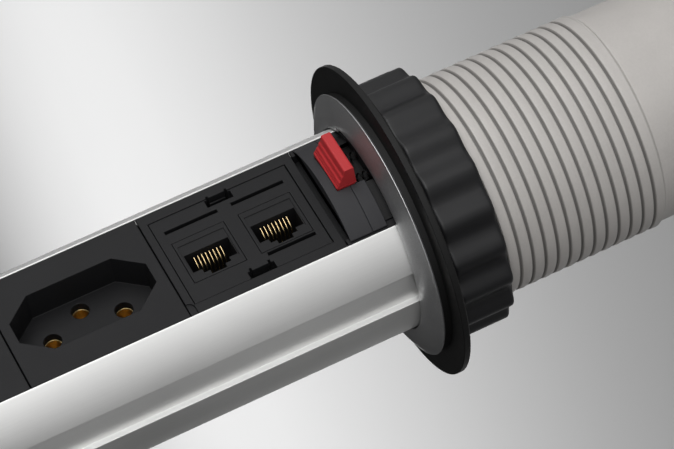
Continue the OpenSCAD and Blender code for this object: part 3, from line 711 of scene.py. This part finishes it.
@dataclass(frozen=True)
class Thread:
    """Screw thread, as a narrow helical groove between rounded lands."""

    pitch: float = 3.45
    groove_z: float = -19.9
    groove_share: float = 0.15
    groove_steepness: float = 1.7
    land_drop: float = 0.36
    end_share: float = 0.6
    row_shares: tuple[float, ...] = (-0.5, -0.36, -0.25, -0.18, -0.15, -0.06,
                                     0.0, 0.06, 0.15, 0.18, 0.25, 0.36)

    def skin(self, shape: Shape, radius: float, top: float, bottom: float,
             columns: int) -> tuple[Ring, Ring]:
        """Lay a plain grid round Z whose rows climb with the thread, so that the groove comes out clean.

        Args:
            shape: The working mesh.
            radius: Radius of the grid.
            top: Height of its upper end.
            bottom: Height of its lower end.
            columns: Number of points round the axis.

        Returns:
            The points of the upper and of the lower end.
        """
        first = math.floor((bottom - self.groove_z) / self.pitch) - 2
        last = math.ceil((top - self.groove_z) / self.pitch) + 1
        heights = []
        for turn in range(first, last + 1):
            heights += [self.groove_z + self.pitch * (turn + share) for share in self.row_shares]
        points: dict[tuple[int, int], Vert] = {}

        def point(column: int, height: float) -> Vert:
            """Find or add a row's point, held between the two ends.

            Args:
                column: Column of the point.
                height: Height of the row at the front.

            Returns:
                The point.
            """
            held = min(max(height + self.pitch * column / columns, bottom), top)
            key = (column % columns, round(held * 10000))
            if key not in points:
                turn = math.tau * column / columns - QUARTER
                points[key] = shape.verts.new((*on_circle(radius, turn), held))
            return points[key]

        for column in range(columns):
            for low, high in zip(heights, heights[1:]):
                corners = dict.fromkeys((point(column, low), point(column + 1, low),
                                         point(column + 1, high), point(column, high)))
                if len(corners) > 2:
                    shape.faces.new(list(corners))
        return ([point(column, heights[-1]) for column in range(columns)],
                [point(column, heights[0]) for column in range(columns)])

    def cut(self, piece: Piece, surface_r: float, depth: float, top: float, bottom: float,
            slot: str) -> None:
        """Press the thread into a turned surface and mark its groove, where painted shade may darken the
        colour.

        Args:
            piece: A turned piece with closely spaced rows.
            surface_r: Radius of the plain surface that takes the thread.
            depth: Depth of the groove, negative where it goes outwards.
            top: Height where the thread ends above.
            bottom: Height where it ends below.
            slot: Material slot of the piece.
        """
        tree = Tree("helical_thread")
        pitch = tree.given("Pitch", self.pitch)
        sunk = tree.given("Depth", depth)
        surface = tree.given("Surface radius", surface_r)
        start = tree.given("Groove height at the front", self.groove_z)
        share = tree.given("Groove share", self.groove_share)
        steep = tree.given("Groove steepness", self.groove_steepness)
        drop = tree.given("Land rounding", self.land_drop)
        upper = tree.given("Top", top)
        lower = tree.given("Bottom", bottom)
        radius, angle, height = tree.polar()
        rise = tree.math("MULTIPLY", pitch, tree.math("DIVIDE", tree.math("ADD", angle, QUARTER), math.tau))
        turns = tree.math("DIVIDE", tree.math("SUBTRACT", tree.math("SUBTRACT", height, start), rise), pitch)
        away = tree.math("ABSOLUTE", tree.math("SUBTRACT", turns, tree.math("ROUND", turns)))
        open_to = tree.math("MAXIMUM", tree.math("SUBTRACT", 1.0, tree.math("DIVIDE", away, share)), 0.0)
        groove = tree.math("MINIMUM", tree.math("MULTIPLY", open_to, steep), 1.0)
        inner = tree.math("SUBTRACT", 1.0, tree.math("MULTIPLY", away, 2.0))
        crown = tree.math("MULTIPLY", tree.math("POWER", inner, 2.0), drop)
        form = tree.math("MAXIMUM", groove, crown)
        run_out = self.pitch * self.end_share
        ends = tree.math("MULTIPLY", tree.fade(tree.math("SUBTRACT", upper, height), 0.0, run_out),
                         tree.fade(tree.math("SUBTRACT", height, lower), 0.0, run_out))
        where = tree.math("MULTIPLY", ends, tree.math("COMPARE", radius, surface, SAME_RADIUS))
        inwards = tree.math("MULTIPLY", tree.math("MULTIPLY", form, sunk), where)
        # Mark the groove for painted shade in the colour
        marked = tree.node("GeometryNodeStoreNamedAttribute", Geometry=tree.source.outputs["Geometry"],
                           Name=PAINTED_SHADE_MARK, Value=tree.math("MULTIPLY", groove, where))
        moved = tree.push(marked.outputs["Geometry"], radius, tree.math("MULTIPLY", inwards, -1.0))
        tree.run(piece, moved, slot)


@dataclass
class Barrel:
    """Threaded barrel with its flange, seal, collar and lower end."""

    bore_r: float = 27.4
    root_r: float = 28.5
    crest_r: float = 29.3
    rim_r: float = 34.2
    rim_top: float = 3.3
    flange_top: float = 2.1
    neck_l: float = 2.65
    thread_bottom: float = -61.3
    bottom: float = -197.6
    lead: float = 0.3
    columns: int = 144
    key_angle: float = 76.5
    key_w: float = 7.75
    key_top: float = 1.7
    key_h: float = 10.0
    key_reach: float = 0.8
    collar_r: float = 35.5
    collar_top: float = 6.7
    collar_edge_z: float = 4.5
    collar_edge: float = 0.25
    collar_undercut: float = 0.4
    collar_land: float = 1.6
    collar_round: float = 0.12
    collar_sides: int = 240
    dome_steps: int = 32
    rim_gap: float = 0.1
    step_top: float = 3.8
    pocket_r: float = 28.8
    pocket_left: float = 38.0
    pocket_right: float = 31.0
    pocket_reach: float = 6.0
    pocket_steps: int = 48
    thread: Thread = Thread()

    def build(self) -> None:
        """Make every fixed piece round the tower."""
        self.build_tube()
        self.build_collar()
        for node, slot, width in (
            ("flange_disc", "disc_black", 0.06),
            ("flange_seal", "seal_rubber", 0.15),
            ("guide_key_left", "key_plastic", 0.2),
            ("guide_key_right", "key_plastic", 0.2),
            ("barrel_end_cap", "key_plastic", 0.25),
            ("cable_gland", "nut_black", 0.3),
            ("gland_locknut", "nut_black", 0.25),
        ):
            Shop.round_off(node, slot, "base", width)

    def build_tube(self) -> None:
        """Make the barrel with its helical thread and its key windows."""
        lead = self.lead
        shape = bmesh.new()
        upper, lower = self.thread.skin(shape, self.crest_r, -self.neck_l, self.thread_bottom, self.columns)
        outline = [
            (self.root_r, self.thread_bottom - self.crest_r + self.root_r),
            (self.root_r, self.bottom + lead),
            (self.root_r - lead, self.bottom),
            (self.bore_r, self.bottom),
            (self.bore_r, self.rim_top - lead),
            (self.bore_r + lead, self.rim_top),
            (self.rim_r - lead / 2, self.rim_top),
            (self.rim_r, self.rim_top - lead / 2),
            (self.rim_r, self.flange_top),
            (self.crest_r, self.flange_top),
        ]
        rings = [Shop.ring(shape, radius, height, self.columns) for radius, height in outline]
        Shop.bridge(shape, [lower] + rings + [upper])
        bmesh.ops.recalc_face_normals(shape, faces=shape.faces)
        tube = Shop.to_object("barrel_tube", shape)
        self.thread.cut(tube, self.crest_r, self.crest_r - self.root_r, -self.neck_l, self.thread_bottom,
                        "off_white")
        low = (-self.key_w / 2, -self.crest_r - CUT_ROOM, self.key_top - self.key_h)
        high = (self.key_w / 2, -self.bore_r * self.key_reach, self.key_top)
        Shop.carve(tube, [Shop.block("key_window", low, high, side * self.key_angle) for side in (-1, 1)])
        Shop.smooth(tube, angle=42.0)
        Shop.dress(tube, "off_white", "base", "threaded_barrel")

    def build_collar(self) -> None:
        """Make the domed collar with the pocket for the latch housing."""
        edge = self.collar_edge
        inner = self.bore_r
        rise = self.collar_top - self.collar_edge_z
        span = self.collar_r - edge - inner - self.collar_land
        outline = [(self.collar_r - self.collar_undercut, self.step_top),
                   (self.collar_r, self.step_top + self.collar_undercut)]
        outline += arc((self.collar_r - edge, self.collar_edge_z - edge), edge, 0, 1, 8)
        for step in range(1, self.dome_steps + 1):
            share = step / self.dome_steps
            outline.append((self.collar_r - edge - span * share,
                            self.collar_edge_z + rise * math.sin(QUARTER * share)))
        outline += arc((inner + edge, self.collar_top - edge), edge, 1, 2, 6)
        seat_r = self.rim_r + self.rim_gap
        outline += [(inner, self.rim_top), (seat_r, self.rim_top), (seat_r, self.step_top)]
        ring = Shop.to_object("collar_ring", Shop.revolve(outline, self.collar_sides))
        Shop.carve(ring, [self.pocket_tool()])
        shape = bmesh.new()
        shape.from_mesh(ring.data)
        Shop.soften_edges(shape, self.collar_round * MM, angle=50.0)
        shape.to_mesh(ring.data)
        shape.free()
        Shop.smooth(ring, angle=30.0)
        Shop.dress(ring, "satin_silver", "base", "collar")

    def pocket_tool(self) -> Piece:
        """Make the sector that the collar's pocket is cut with.

        Returns:
            The sector as an object.
        """
        low = self.rim_top - CUT_ROOM
        high = self.collar_top + CUT_ROOM
        near = self.bore_r - self.pocket_reach
        width = self.pocket_left + self.pocket_right
        turns = []
        for step in range(self.pocket_steps + 1):
            turns.append(math.radians(-90 - self.pocket_left + width * step / self.pocket_steps))
        outline = [on_circle(self.pocket_r, turn) for turn in turns]
        outline += [on_circle(near, turn) for turn in (turns[-1], turns[0])]
        shape = bmesh.new()
        floor = shape.faces.new([shape.verts.new((x, y, low)) for x, y in outline])
        grown = bmesh.ops.extrude_face_region(shape, geom=[floor])
        lifted = [item for item in grown["geom"] if isinstance(item, Vert)]
        bmesh.ops.translate(shape, vec=(0, 0, high - low), verts=lifted)
        bmesh.ops.recalc_face_normals(shape, faces=shape.faces)
        return Shop.to_object("pocket_tool", shape)


@dataclass
class Clamp:
    """Fluted clamp nut with its inner thread, and the washer above it."""

    top: float = -1.3
    height: float = 14.9
    lobe_r: float = 34.5
    bore_r: float = 29.55
    groove_r: float = 30.5
    bore_lead: float = 0.4
    bore_rows: int = 48
    flute_depth: float = 1.8
    flute_count: int = 20
    flute_turn: float = 0.4
    flute_sides: int = 12
    flute_rows: int = 12
    flute_from: float = 2.2
    flute_full: float = 0.2
    upper_round: float = 1.5
    lower_round: float = 1.0
    thread: Thread = Thread(groove_share=0.24, groove_steepness=1.1)

    def build(self) -> None:
        """Make the nut and the washer."""
        self.build_nut()
        Shop.round_off("clamp_washer", "key_plastic", "clamp_ring", 0.2)

    def outline(self) -> list[Point2]:
        """Work out the nut's section at a lobe, with rings close together in the bore and along the flutes.

        Returns:
            Points (radius, height) round the section.
        """
        bottom = self.top - self.height
        lower = self.lower_round
        upper = self.upper_round
        plain = self.height - lower - upper
        points = arc((self.lobe_r - lower, bottom + lower), lower, -1, 0, 8)
        for row in range(1, self.flute_rows):
            points.append((self.lobe_r, bottom + lower + plain * row / self.flute_rows))
        points += arc((self.lobe_r - upper, self.top - upper), upper, 0, 1, 12)
        lead = self.bore_lead
        bore = self.height - 2 * lead
        points.append((self.bore_r + lead, self.top))
        for row in range(self.bore_rows + 1):
            points.append((self.bore_r, self.top - lead - bore * row / self.bore_rows))
        points.append((self.bore_r + lead, bottom))
        return points

    def build_nut(self) -> None:
        """Turn the nut, press its thread inside and its flutes outside."""
        sides = self.flute_count * self.flute_sides
        nut = Shop.to_object("clamp_nut_fluted", Shop.revolve(self.outline(), sides))
        self.thread.cut(nut, self.bore_r, self.bore_r - self.groove_r, self.top, self.top - self.height,
                        "nut_black")
        tree = Tree("nut_flutes")
        count = tree.given("Flute count", self.flute_count)
        depth = tree.given("Flute depth", self.flute_depth)
        lobe = tree.given("Lobe radius", self.lobe_r)
        shift = tree.math("MULTIPLY", tree.given("Turn in flutes", self.flute_turn), math.tau)
        radius, angle, _ = tree.polar()
        wave = tree.math("COSINE", tree.math("SUBTRACT", tree.math("MULTIPLY", angle, count), shift))
        sunk = tree.math("MULTIPLY", tree.math("SUBTRACT", wave, 1.0), tree.math("MULTIPLY", depth, 0.5))
        skin = tree.fade(radius, tree.math("SUBTRACT", lobe, self.flute_from),
                         tree.math("SUBTRACT", lobe, self.flute_full))
        moved = tree.push(tree.source.outputs["Geometry"], radius, tree.math("MULTIPLY", sunk, skin))
        tree.run(nut, moved, "nut_black")
        Shop.smooth(nut, angle=45.0)
        Shop.dress(nut, "nut_black", "clamp_nut", "clamp_nut")


@dataclass(frozen=True)
class ScrewKind:
    """Sizes of one kind of countersunk screw with a cross recess."""

    shank_r: float
    head_r: float
    head_h: float
    length: float
    sides: int = 32
    tip_share: float = 0.55
    tip_length: float = 0.6
    arm_share: float = 0.62
    arm_width: float = 0.24
    recess_depth: float = 0.75
    recess_taper: float = 0.7
    head_rim: tuple[Point2, ...] = ((-0.12, -0.02), (-0.05, 0.0), (0.0, -0.08))

    def recess(self, turn: float) -> float:
        """Reach of the cross recess at an angle round the head."""
        off = (turn + QUARTER / 2) % QUARTER - QUARTER / 2
        return self.head_r * min(self.arm_share, self.arm_width / max(abs(math.sin(off)), 1e-6))

    def mesh(self, name: str) -> Piece:
        """Make the screw with its head's face at the origin and its shank towards -Z.

        Args:
            name: Name of the object.

        Returns:
            The screw as an object.
        """
        turns = [math.tau * side / self.sides for side in range(self.sides)]
        cross = [self.recess(turn) for turn in turns]
        section = [
            (-self.length, self.shank_r * self.tip_share),
            (-self.length + self.shank_r * self.tip_length, self.shank_r),
            (-self.head_h, self.shank_r),
        ]
        section += [(height, self.head_r + beyond) for height, beyond in self.head_rim]
        rows = [(height, [radius] * self.sides) for height, radius in section]
        rows.append((0.0, cross))
        rows.append((-self.head_h * self.recess_depth, [reach * self.recess_taper for reach in cross]))
        shape = bmesh.new()
        rings = []
        for height, reaches in rows:
            rings.append([shape.verts.new((*on_circle(reach, turn), height))
                          for turn, reach in zip(turns, reaches)])
        return Shop.rod(name, shape, rings, angle=30.0)


@dataclass(frozen=True)
class Seat:
    """Place of one screw: the middle of its head and the turn of its axis from +Z."""

    place: Point3
    turn: Point3


@dataclass
class Fasteners:
    """Screws of the whole object, one mesh for each set."""

    boss_r: float = 21.8
    boss_angles: tuple[float, ...] = (25.0, 90.0, 155.0)
    cap_top: float = 149.9
    foot_bottom: float = -44.3
    flange_r: float = 32.7
    flange_angles: tuple[float, ...] = (45.0, 135.0, 225.0, 315.0)
    flange_bottom: float = 0.2
    housing_x: Point2 = (-8.6, 11.5)
    housing_y: float = -22.276
    housing_top: float = 18.3
    barrel_r: float = 28.5
    head_r: float = 28.4
    latch_x: float = 10.5
    latch_z: float = -9.0
    end_angles: tuple[float, ...] = (30.0, 150.0, 270.0)
    end_z: float = -193.6

    def build(self) -> None:
        """Make every set of screws."""
        up = (0.0, 0.0, 0.0)
        down = (math.pi, 0.0, 0.0)
        bosses = [on_circle(self.boss_r, math.radians(angle)) for angle in self.boss_angles]
        flange = [on_circle(self.flange_r, math.radians(angle)) for angle in self.flange_angles]
        latch = []
        for side in (-1, 1):
            turn = math.asin(side * self.latch_x / self.barrel_r)
            place = (self.head_r * math.sin(turn), -self.head_r * math.cos(turn), self.latch_z)
            latch.append(Seat(place, (QUARTER, 0.0, turn)))
        ends = []
        for angle in self.end_angles:
            turn = math.radians(angle)
            ends.append(Seat((*on_circle(self.head_r, turn), self.end_z), (0.0, QUARTER, turn)))
        for node, kind, body, seats in (
            ("flange_screws", ScrewKind(1.05, 2.1, 1.1, 4.7), "base",
             [Seat((x, y, self.flange_bottom), down) for x, y in flange]),
            ("cap_screws", ScrewKind(1.45, 2.8, 1.7, 12.0), "tower",
             [Seat((x, y, self.cap_top), up) for x, y in bosses]),
            ("foot_screws", ScrewKind(1.45, 2.8, 1.7, 21.5), "tower",
             [Seat((x, y, self.foot_bottom), down) for x, y in bosses]),
            ("housing_screws", ScrewKind(0.8, 1.3, 0.8, 6.9), "base",
             [Seat((x, self.housing_y, self.housing_top), up) for x in self.housing_x]),
            ("latch_screws", ScrewKind(0.9, 1.8, 0.9, 3.6), "base", latch),
            ("end_cap_screws", ScrewKind(0.8, 1.3, 0.8, 4.3), "base", ends),
        ):
            self.build_set(node, kind, body, seats)

    @staticmethod
    def build_set(node: str, kind: ScrewKind, body: str, seats: Sequence[Seat]) -> None:
        """Repeat one screw at its seats and join the copies into one mesh.

        Args:
            node: CAD node that the set stands for.
            kind: Sizes of the screw.
            body: Body that the screws move with.
            seats: Where the screws sit.
        """
        model = kind.mesh(node + "_model")
        shape = bmesh.new()
        turns = shape.verts.layers.float_vector.new("turn")
        for seat in seats:
            point = shape.verts.new(seat.place)
            point[turns] = seat.turn
        piece = Shop.to_object(node + "_set", shape)
        tree = Tree(node + "_seats")
        attribute = tree.node("GeometryNodeInputNamedAttribute", Name="turn")
        attribute.data_type = "FLOAT_VECTOR"
        turn = tree.node("FunctionNodeEulerToRotation", Euler=attribute.outputs["Attribute"])
        copies = tree.copies(tree.source.outputs["Geometry"], model, Rotation=turn.outputs["Rotation"])
        tree.run(piece, copies, "screw_steel")
        bpy.data.objects.remove(model)
        Shop.smooth(piece, angle=30.0)
        Shop.dress(piece, "screw_steel", body, node)


@dataclass
class Tower:
    """Sliding tower: extrusion, cap, foot, mains sockets and terminal."""

    pieces: tuple[tuple[str, str, float], ...] = (
        ("tower_profile", "satin_aluminium", 0.16),
        ("top_cap", "satin_aluminium", 0.25),
        ("tower_foot", "key_plastic", 0.3),
        ("lower_cover", "outlet_black", 0.15),
        ("terminal_block", "terminal_white", 0.25),
        ("terminal_screws", "screw_steel", 0.08),
    )
    socket_pieces: tuple[tuple[str, str, float], ...] = (
        ("power_socket", "outlet_black", 0.2),
        ("contact_sleeves", "contact_brass", 0.1),
        ("socket_back", "back_grey", 0.25),
    )

    def build(self) -> None:
        """Make the tower's pieces other than the data outlets."""
        for node, slot, width in self.pieces:
            Shop.round_off(node, slot, "tower", width)
        for name, slot, width in self.socket_pieces:
            for level in ("lower", "upper"):
                Shop.round_off(f"{name}_{level}", slot, "tower", width)


@dataclass
class Outlets:
    """Data outlets: frame, plate, jacks and their contact wires."""

    plate_y: float = -20.726
    data_z: float = 40.4
    jack_pitch: float = 17.95
    mouth_edge_x: float = 0.8
    wire_count: int = 8
    wire_pitch: float = 1.016
    wire_r: float = 0.2
    wire_sides: int = 8
    wire_route: tuple[Point2, ...] = ((0.3, 2.02), (1.0, 2.26), (1.9, 2.64), (2.5, 3.05), (2.95, 3.55),
                                      (3.28, 4.2), (3.4, 5.0), (3.4, 11.65))

    def build(self) -> None:
        """Make the outlets' pieces."""
        for node, width in (
            ("data_frame", 0.14),
            ("data_plate", 0.12),
            ("jack_lower", 0.08),
            ("jack_upper", 0.08),
        ):
            Shop.round_off(node, "outlet_black", "tower", width)
        for side, name in ((-1, "jack_wires_lower"), (1, "jack_wires_upper")):
            self.build_wires(name, self.data_z + side * self.jack_pitch / 2)

    def wire_model(self) -> Piece:
        """Make one contact wire, which bends over from the mouth's edge and runs back.

        Returns:
            The wire at height 0, along the tower's X and Y.
        """
        edge = Vector((self.mouth_edge_x, self.plate_y))
        route = [edge + Vector((-inwards, depth)) for inwards, depth in self.wire_route]
        shape = bmesh.new()
        rings = []
        for index, middle in enumerate(route):
            along = (route[min(index + 1, len(route) - 1)] - route[max(index - 1, 0)]).normalized()
            across = Vector((along.y, -along.x))
            ring = []
            for side in range(self.wire_sides):
                out, up = on_circle(self.wire_r, math.tau * side / self.wire_sides)
                ring.append(shape.verts.new((*(middle + across * out), up)))
            rings.append(ring)
        return Shop.rod("wire_model", shape, rings, angle=50.0)

    def build_wires(self, node: str, middle_z: float) -> None:
        """Repeat the contact wire across a jack.

        Args:
            node: CAD node that the wires stand for.
            middle_z: Height of the jack's middle.
        """
        model = self.wire_model()
        piece = Shop.to_object(node + "_set", bmesh.new())
        tree = Tree(node + "_row")
        count = tree.given("Wire count", self.wire_count)
        pitch = tree.given("Wire pitch", self.wire_pitch * MM)
        middle = tree.given("Middle height", middle_z * MM)
        reach = tree.math("MULTIPLY", tree.math("SUBTRACT", count, 1), tree.math("MULTIPLY", pitch, 0.5))
        start = tree.node("ShaderNodeCombineXYZ", X=0.0, Y=0.0, Z=tree.math("SUBTRACT", middle, reach))
        step = tree.node("ShaderNodeCombineXYZ", X=0.0, Y=0.0, Z=pitch)
        row = tree.node("GeometryNodeMeshLine", Count=count, Start_Location=start.outputs["Vector"],
                        Offset=step.outputs["Vector"])
        tree.run(piece, tree.copies(row.outputs["Mesh"], model), "contact_gold")
        bpy.data.objects.remove(model)
        Shop.smooth(piece, angle=50.0)
        Shop.dress(piece, "contact_gold", "tower", node)


@dataclass
class Release:
    """Latch housing in front of the tower, with the red button and its springs."""

    radius: float = 26.8
    slot_x: Point2 = (-5.6, 10.0)
    slot_z: Point2 = (5.8, 15.7)
    slot_depth: float = 0.3
    foot_z: Point2 = (6.0, 8.3)
    foot_depth: float = 1.0
    foot_spare: float = 0.05
    foot_sides: int = 180
    spring_length: float = 14.0
    press: float = 2.4

    def build(self) -> None:
        """Make the housing's halves, the button and its springs."""
        for node in ("latch_housing_lower", "latch_housing_upper"):
            tools = [self.foot_cut()] if node == "latch_housing_lower" else []
            half = Shop.softened(node, 0.2, tools=tools)
            # Painted shade in the button's slot and the foot's recess
            self.paint_slot_shade(half)
            Shop.dress(half, "housing_grey", "base", node)
        Shop.round_off("release_button", "button_red", "release", 0.22, angle=24.0)
        self.build_springs()

    def paint_slot_shade(self, half: Piece) -> None:
        """Mark the walls of the button's slot and of the foot's recess for painted shade, where little light
        comes.

        Args:
            half: One half of the housing.
        """
        limit = self.radius - self.slot_depth
        sunk = half.data.attributes.new(PAINTED_SHADE_MARK, "FLOAT", "POINT")
        for index, vert in enumerate(half.data.vertices):
            x, y, z = vert.co / MM
            in_slot = self.slot_x[0] < x < self.slot_x[1] and self.slot_z[0] < z < self.slot_z[1]
            in_foot = self.foot_z[0] - self.foot_spare < z < self.foot_z[1] + self.foot_spare
            sunk.data[index].value = float((in_slot or in_foot) and math.hypot(x, y) < limit)

    def foot_cut(self) -> Piece:
        """Make the shape that sets the front back where the housing goes down into the collar.

        Returns:
            A ring round the housing's foot.
        """
        low, high = self.foot_z
        inside = self.radius - self.foot_depth
        outside = self.radius + self.foot_depth
        section = ((inside, low), (outside, low), (outside, high), (inside, high))
        return Shop.to_object("foot_cut", Shop.revolve(section, self.foot_sides))

    def build_springs(self) -> None:
        """Copy the two springs at their rest length, though in the socket they grow shorter as the button
        goes down.
        """
        shape = Shop.node_copy("release_springs")
        springs = Shop.to_object("release_springs_wound", shape)
        Shop.smooth(springs, angle=70.0)
        Shop.dress(springs, "spring_dark", "base", "release_springs")
        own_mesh(springs)


@dataclass
class Lamp:
    """A soft lamp that looks at one point, in metres."""

    name: str
    place: Point3
    width: float
    height: float
    watts: float
    target: Point3 = (0.0, 0.0, 0.03)
    spread: float = 180.0

    def build(self) -> None:
        """Hang the lamp, unseen by the camera."""
        light = bpy.data.lights.new(self.name, "AREA")
        light.shape = "RECTANGLE"
        light.size = self.width
        light.size_y = self.height
        light.energy = self.watts
        light.spread = math.radians(self.spread)
        made = bpy.data.objects.new(self.name, light)
        made.location = self.place
        away = Vector(self.place) - Vector(self.target)
        made.rotation_euler = away.to_track_quat("Z", "Y").to_euler()
        made.visible_camera = False
        bpy.context.scene.collection.objects.link(made)


@dataclass
class Studio:
    """Camera of the photograph, soft lamps, grey world and a pale floor."""

    camera_mm: Point3 = (-460.428, -659.986, 190.303)
    camera_right: Point3 = (-0.446732, 0.075937, -0.891439)
    camera_up: Point3 = (0.695158, -0.597766, -0.399289)
    camera_back: Point3 = (-0.563193, -0.798066, 0.214253)
    camera_reach: Point2 = (0.01, 60.0)
    focal_px: float = 3300.0
    frame_px: float = 674.0
    sensor_mm: float = 36.0
    world_grey: float = 0.04
    floor_half: float = 7.0
    floor_drop: float = 0.0005
    floor_greys: Point2 = (0.70, 0.74)
    floor_clouds: float = 3.0
    floor_roughness: float = 0.9
    floor_specular: float = 0.1

    def build(self) -> None:
        """Set up the whole studio."""
        self.build_camera()
        self.build_world()
        self.build_floor()
        for lamp in (
            Lamp("front_lamp", (0.0, -1.4, 0.30), width=2.2, height=0.8, watts=19.0),
            Lamp("left_lamp", (-1.22, -0.65, 0.30), width=1.0, height=0.8, watts=3.0),
            Lamp("right_lamp", (1.25, -0.7, 0.05), width=1.0, height=0.5, watts=2.0),
            Lamp("roof_lamp", (1.0, 1.35, 1.4), width=1.6, height=1.6, watts=10.0, target=(1.0, 1.35, -0.2),
                 spread=70.0),
        ):
            lamp.build()
        bpy.context.scene.view_settings.view_transform = "Standard"

    def build_camera(self) -> None:
        """Place the camera where the photograph was taken."""
        lens = bpy.data.cameras.new("camera")
        lens.sensor_fit = "HORIZONTAL"
        lens.sensor_width = self.sensor_mm
        lens.lens = self.sensor_mm * self.focal_px / self.frame_px
        lens.clip_start, lens.clip_end = self.camera_reach
        made = bpy.data.objects.new("camera", lens)
        turn = Matrix((self.camera_right, self.camera_up, self.camera_back)).transposed()
        made.matrix_world = Matrix.Translation(Vector(self.camera_mm) * MM) @ turn.to_4x4()
        bpy.context.scene.collection.objects.link(made)
        bpy.context.scene.camera = made

    def build_world(self) -> None:
        """Give the world an even grey."""
        world = bpy.data.worlds.new("studio")
        world.use_nodes = True
        back = world.node_tree.nodes["Background"]
        back.inputs["Color"].default_value = (self.world_grey, self.world_grey, self.world_grey, 1.0)
        back.inputs["Strength"].default_value = 1.0
        bpy.context.scene.world = world

    def build_floor(self) -> None:
        """Lay a pale floor just under the object."""
        low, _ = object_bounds()
        half = self.floor_half
        height = low.z - self.floor_drop
        corners = ((-half, -half), (half, -half), (half, half), (-half, half))
        shape = bmesh.new()
        shape.faces.new([shape.verts.new((x, y, height)) for x, y in corners])
        mesh = bpy.data.meshes.new("floor")
        shape.to_mesh(mesh)
        shape.free()
        floor = bpy.data.objects.new("floor", mesh)
        bpy.context.scene.collection.objects.link(floor)
        mesh.materials.append(self.floor_paint())
        floor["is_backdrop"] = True

    def floor_paint(self) -> Material:
        """Mix the floor's pale grey.

        Returns:
            The floor's material.
        """
        paint = bpy.data.materials.new("pale_floor")
        paint.use_nodes = True
        kit = NodeKit(paint.node_tree)
        place = kit.node("ShaderNodeTexCoord").outputs["Object"]
        cloud = kit.node("ShaderNodeTexNoise", Vector=place, Scale=self.floor_clouds)
        dark, light = ((grey, grey, grey, 1.0) for grey in self.floor_greys)
        shader = paint.node_tree.nodes["Principled BSDF"]
        kit.feed(shader.inputs["Base Color"], kit.ramp(cloud.outputs["Fac"], (0.0, dark), (1.0, light)))
        kit.feed(shader.inputs["Roughness"], self.floor_roughness)
        kit.feed(shader.inputs["Specular IOR Level"], self.floor_specular)
        return paint


def main() -> None:
    """Dress the frame and light it; each dressed piece logs its face count."""
    logging.basicConfig(level=logging.INFO, format="%(name)s %(message)s")
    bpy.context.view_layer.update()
    Studio().build()
    for part in (Barrel(), Clamp(), Fasteners(), Tower(), Outlets(), Release()):
        part.build()


if __name__ == "__main__":
    main()
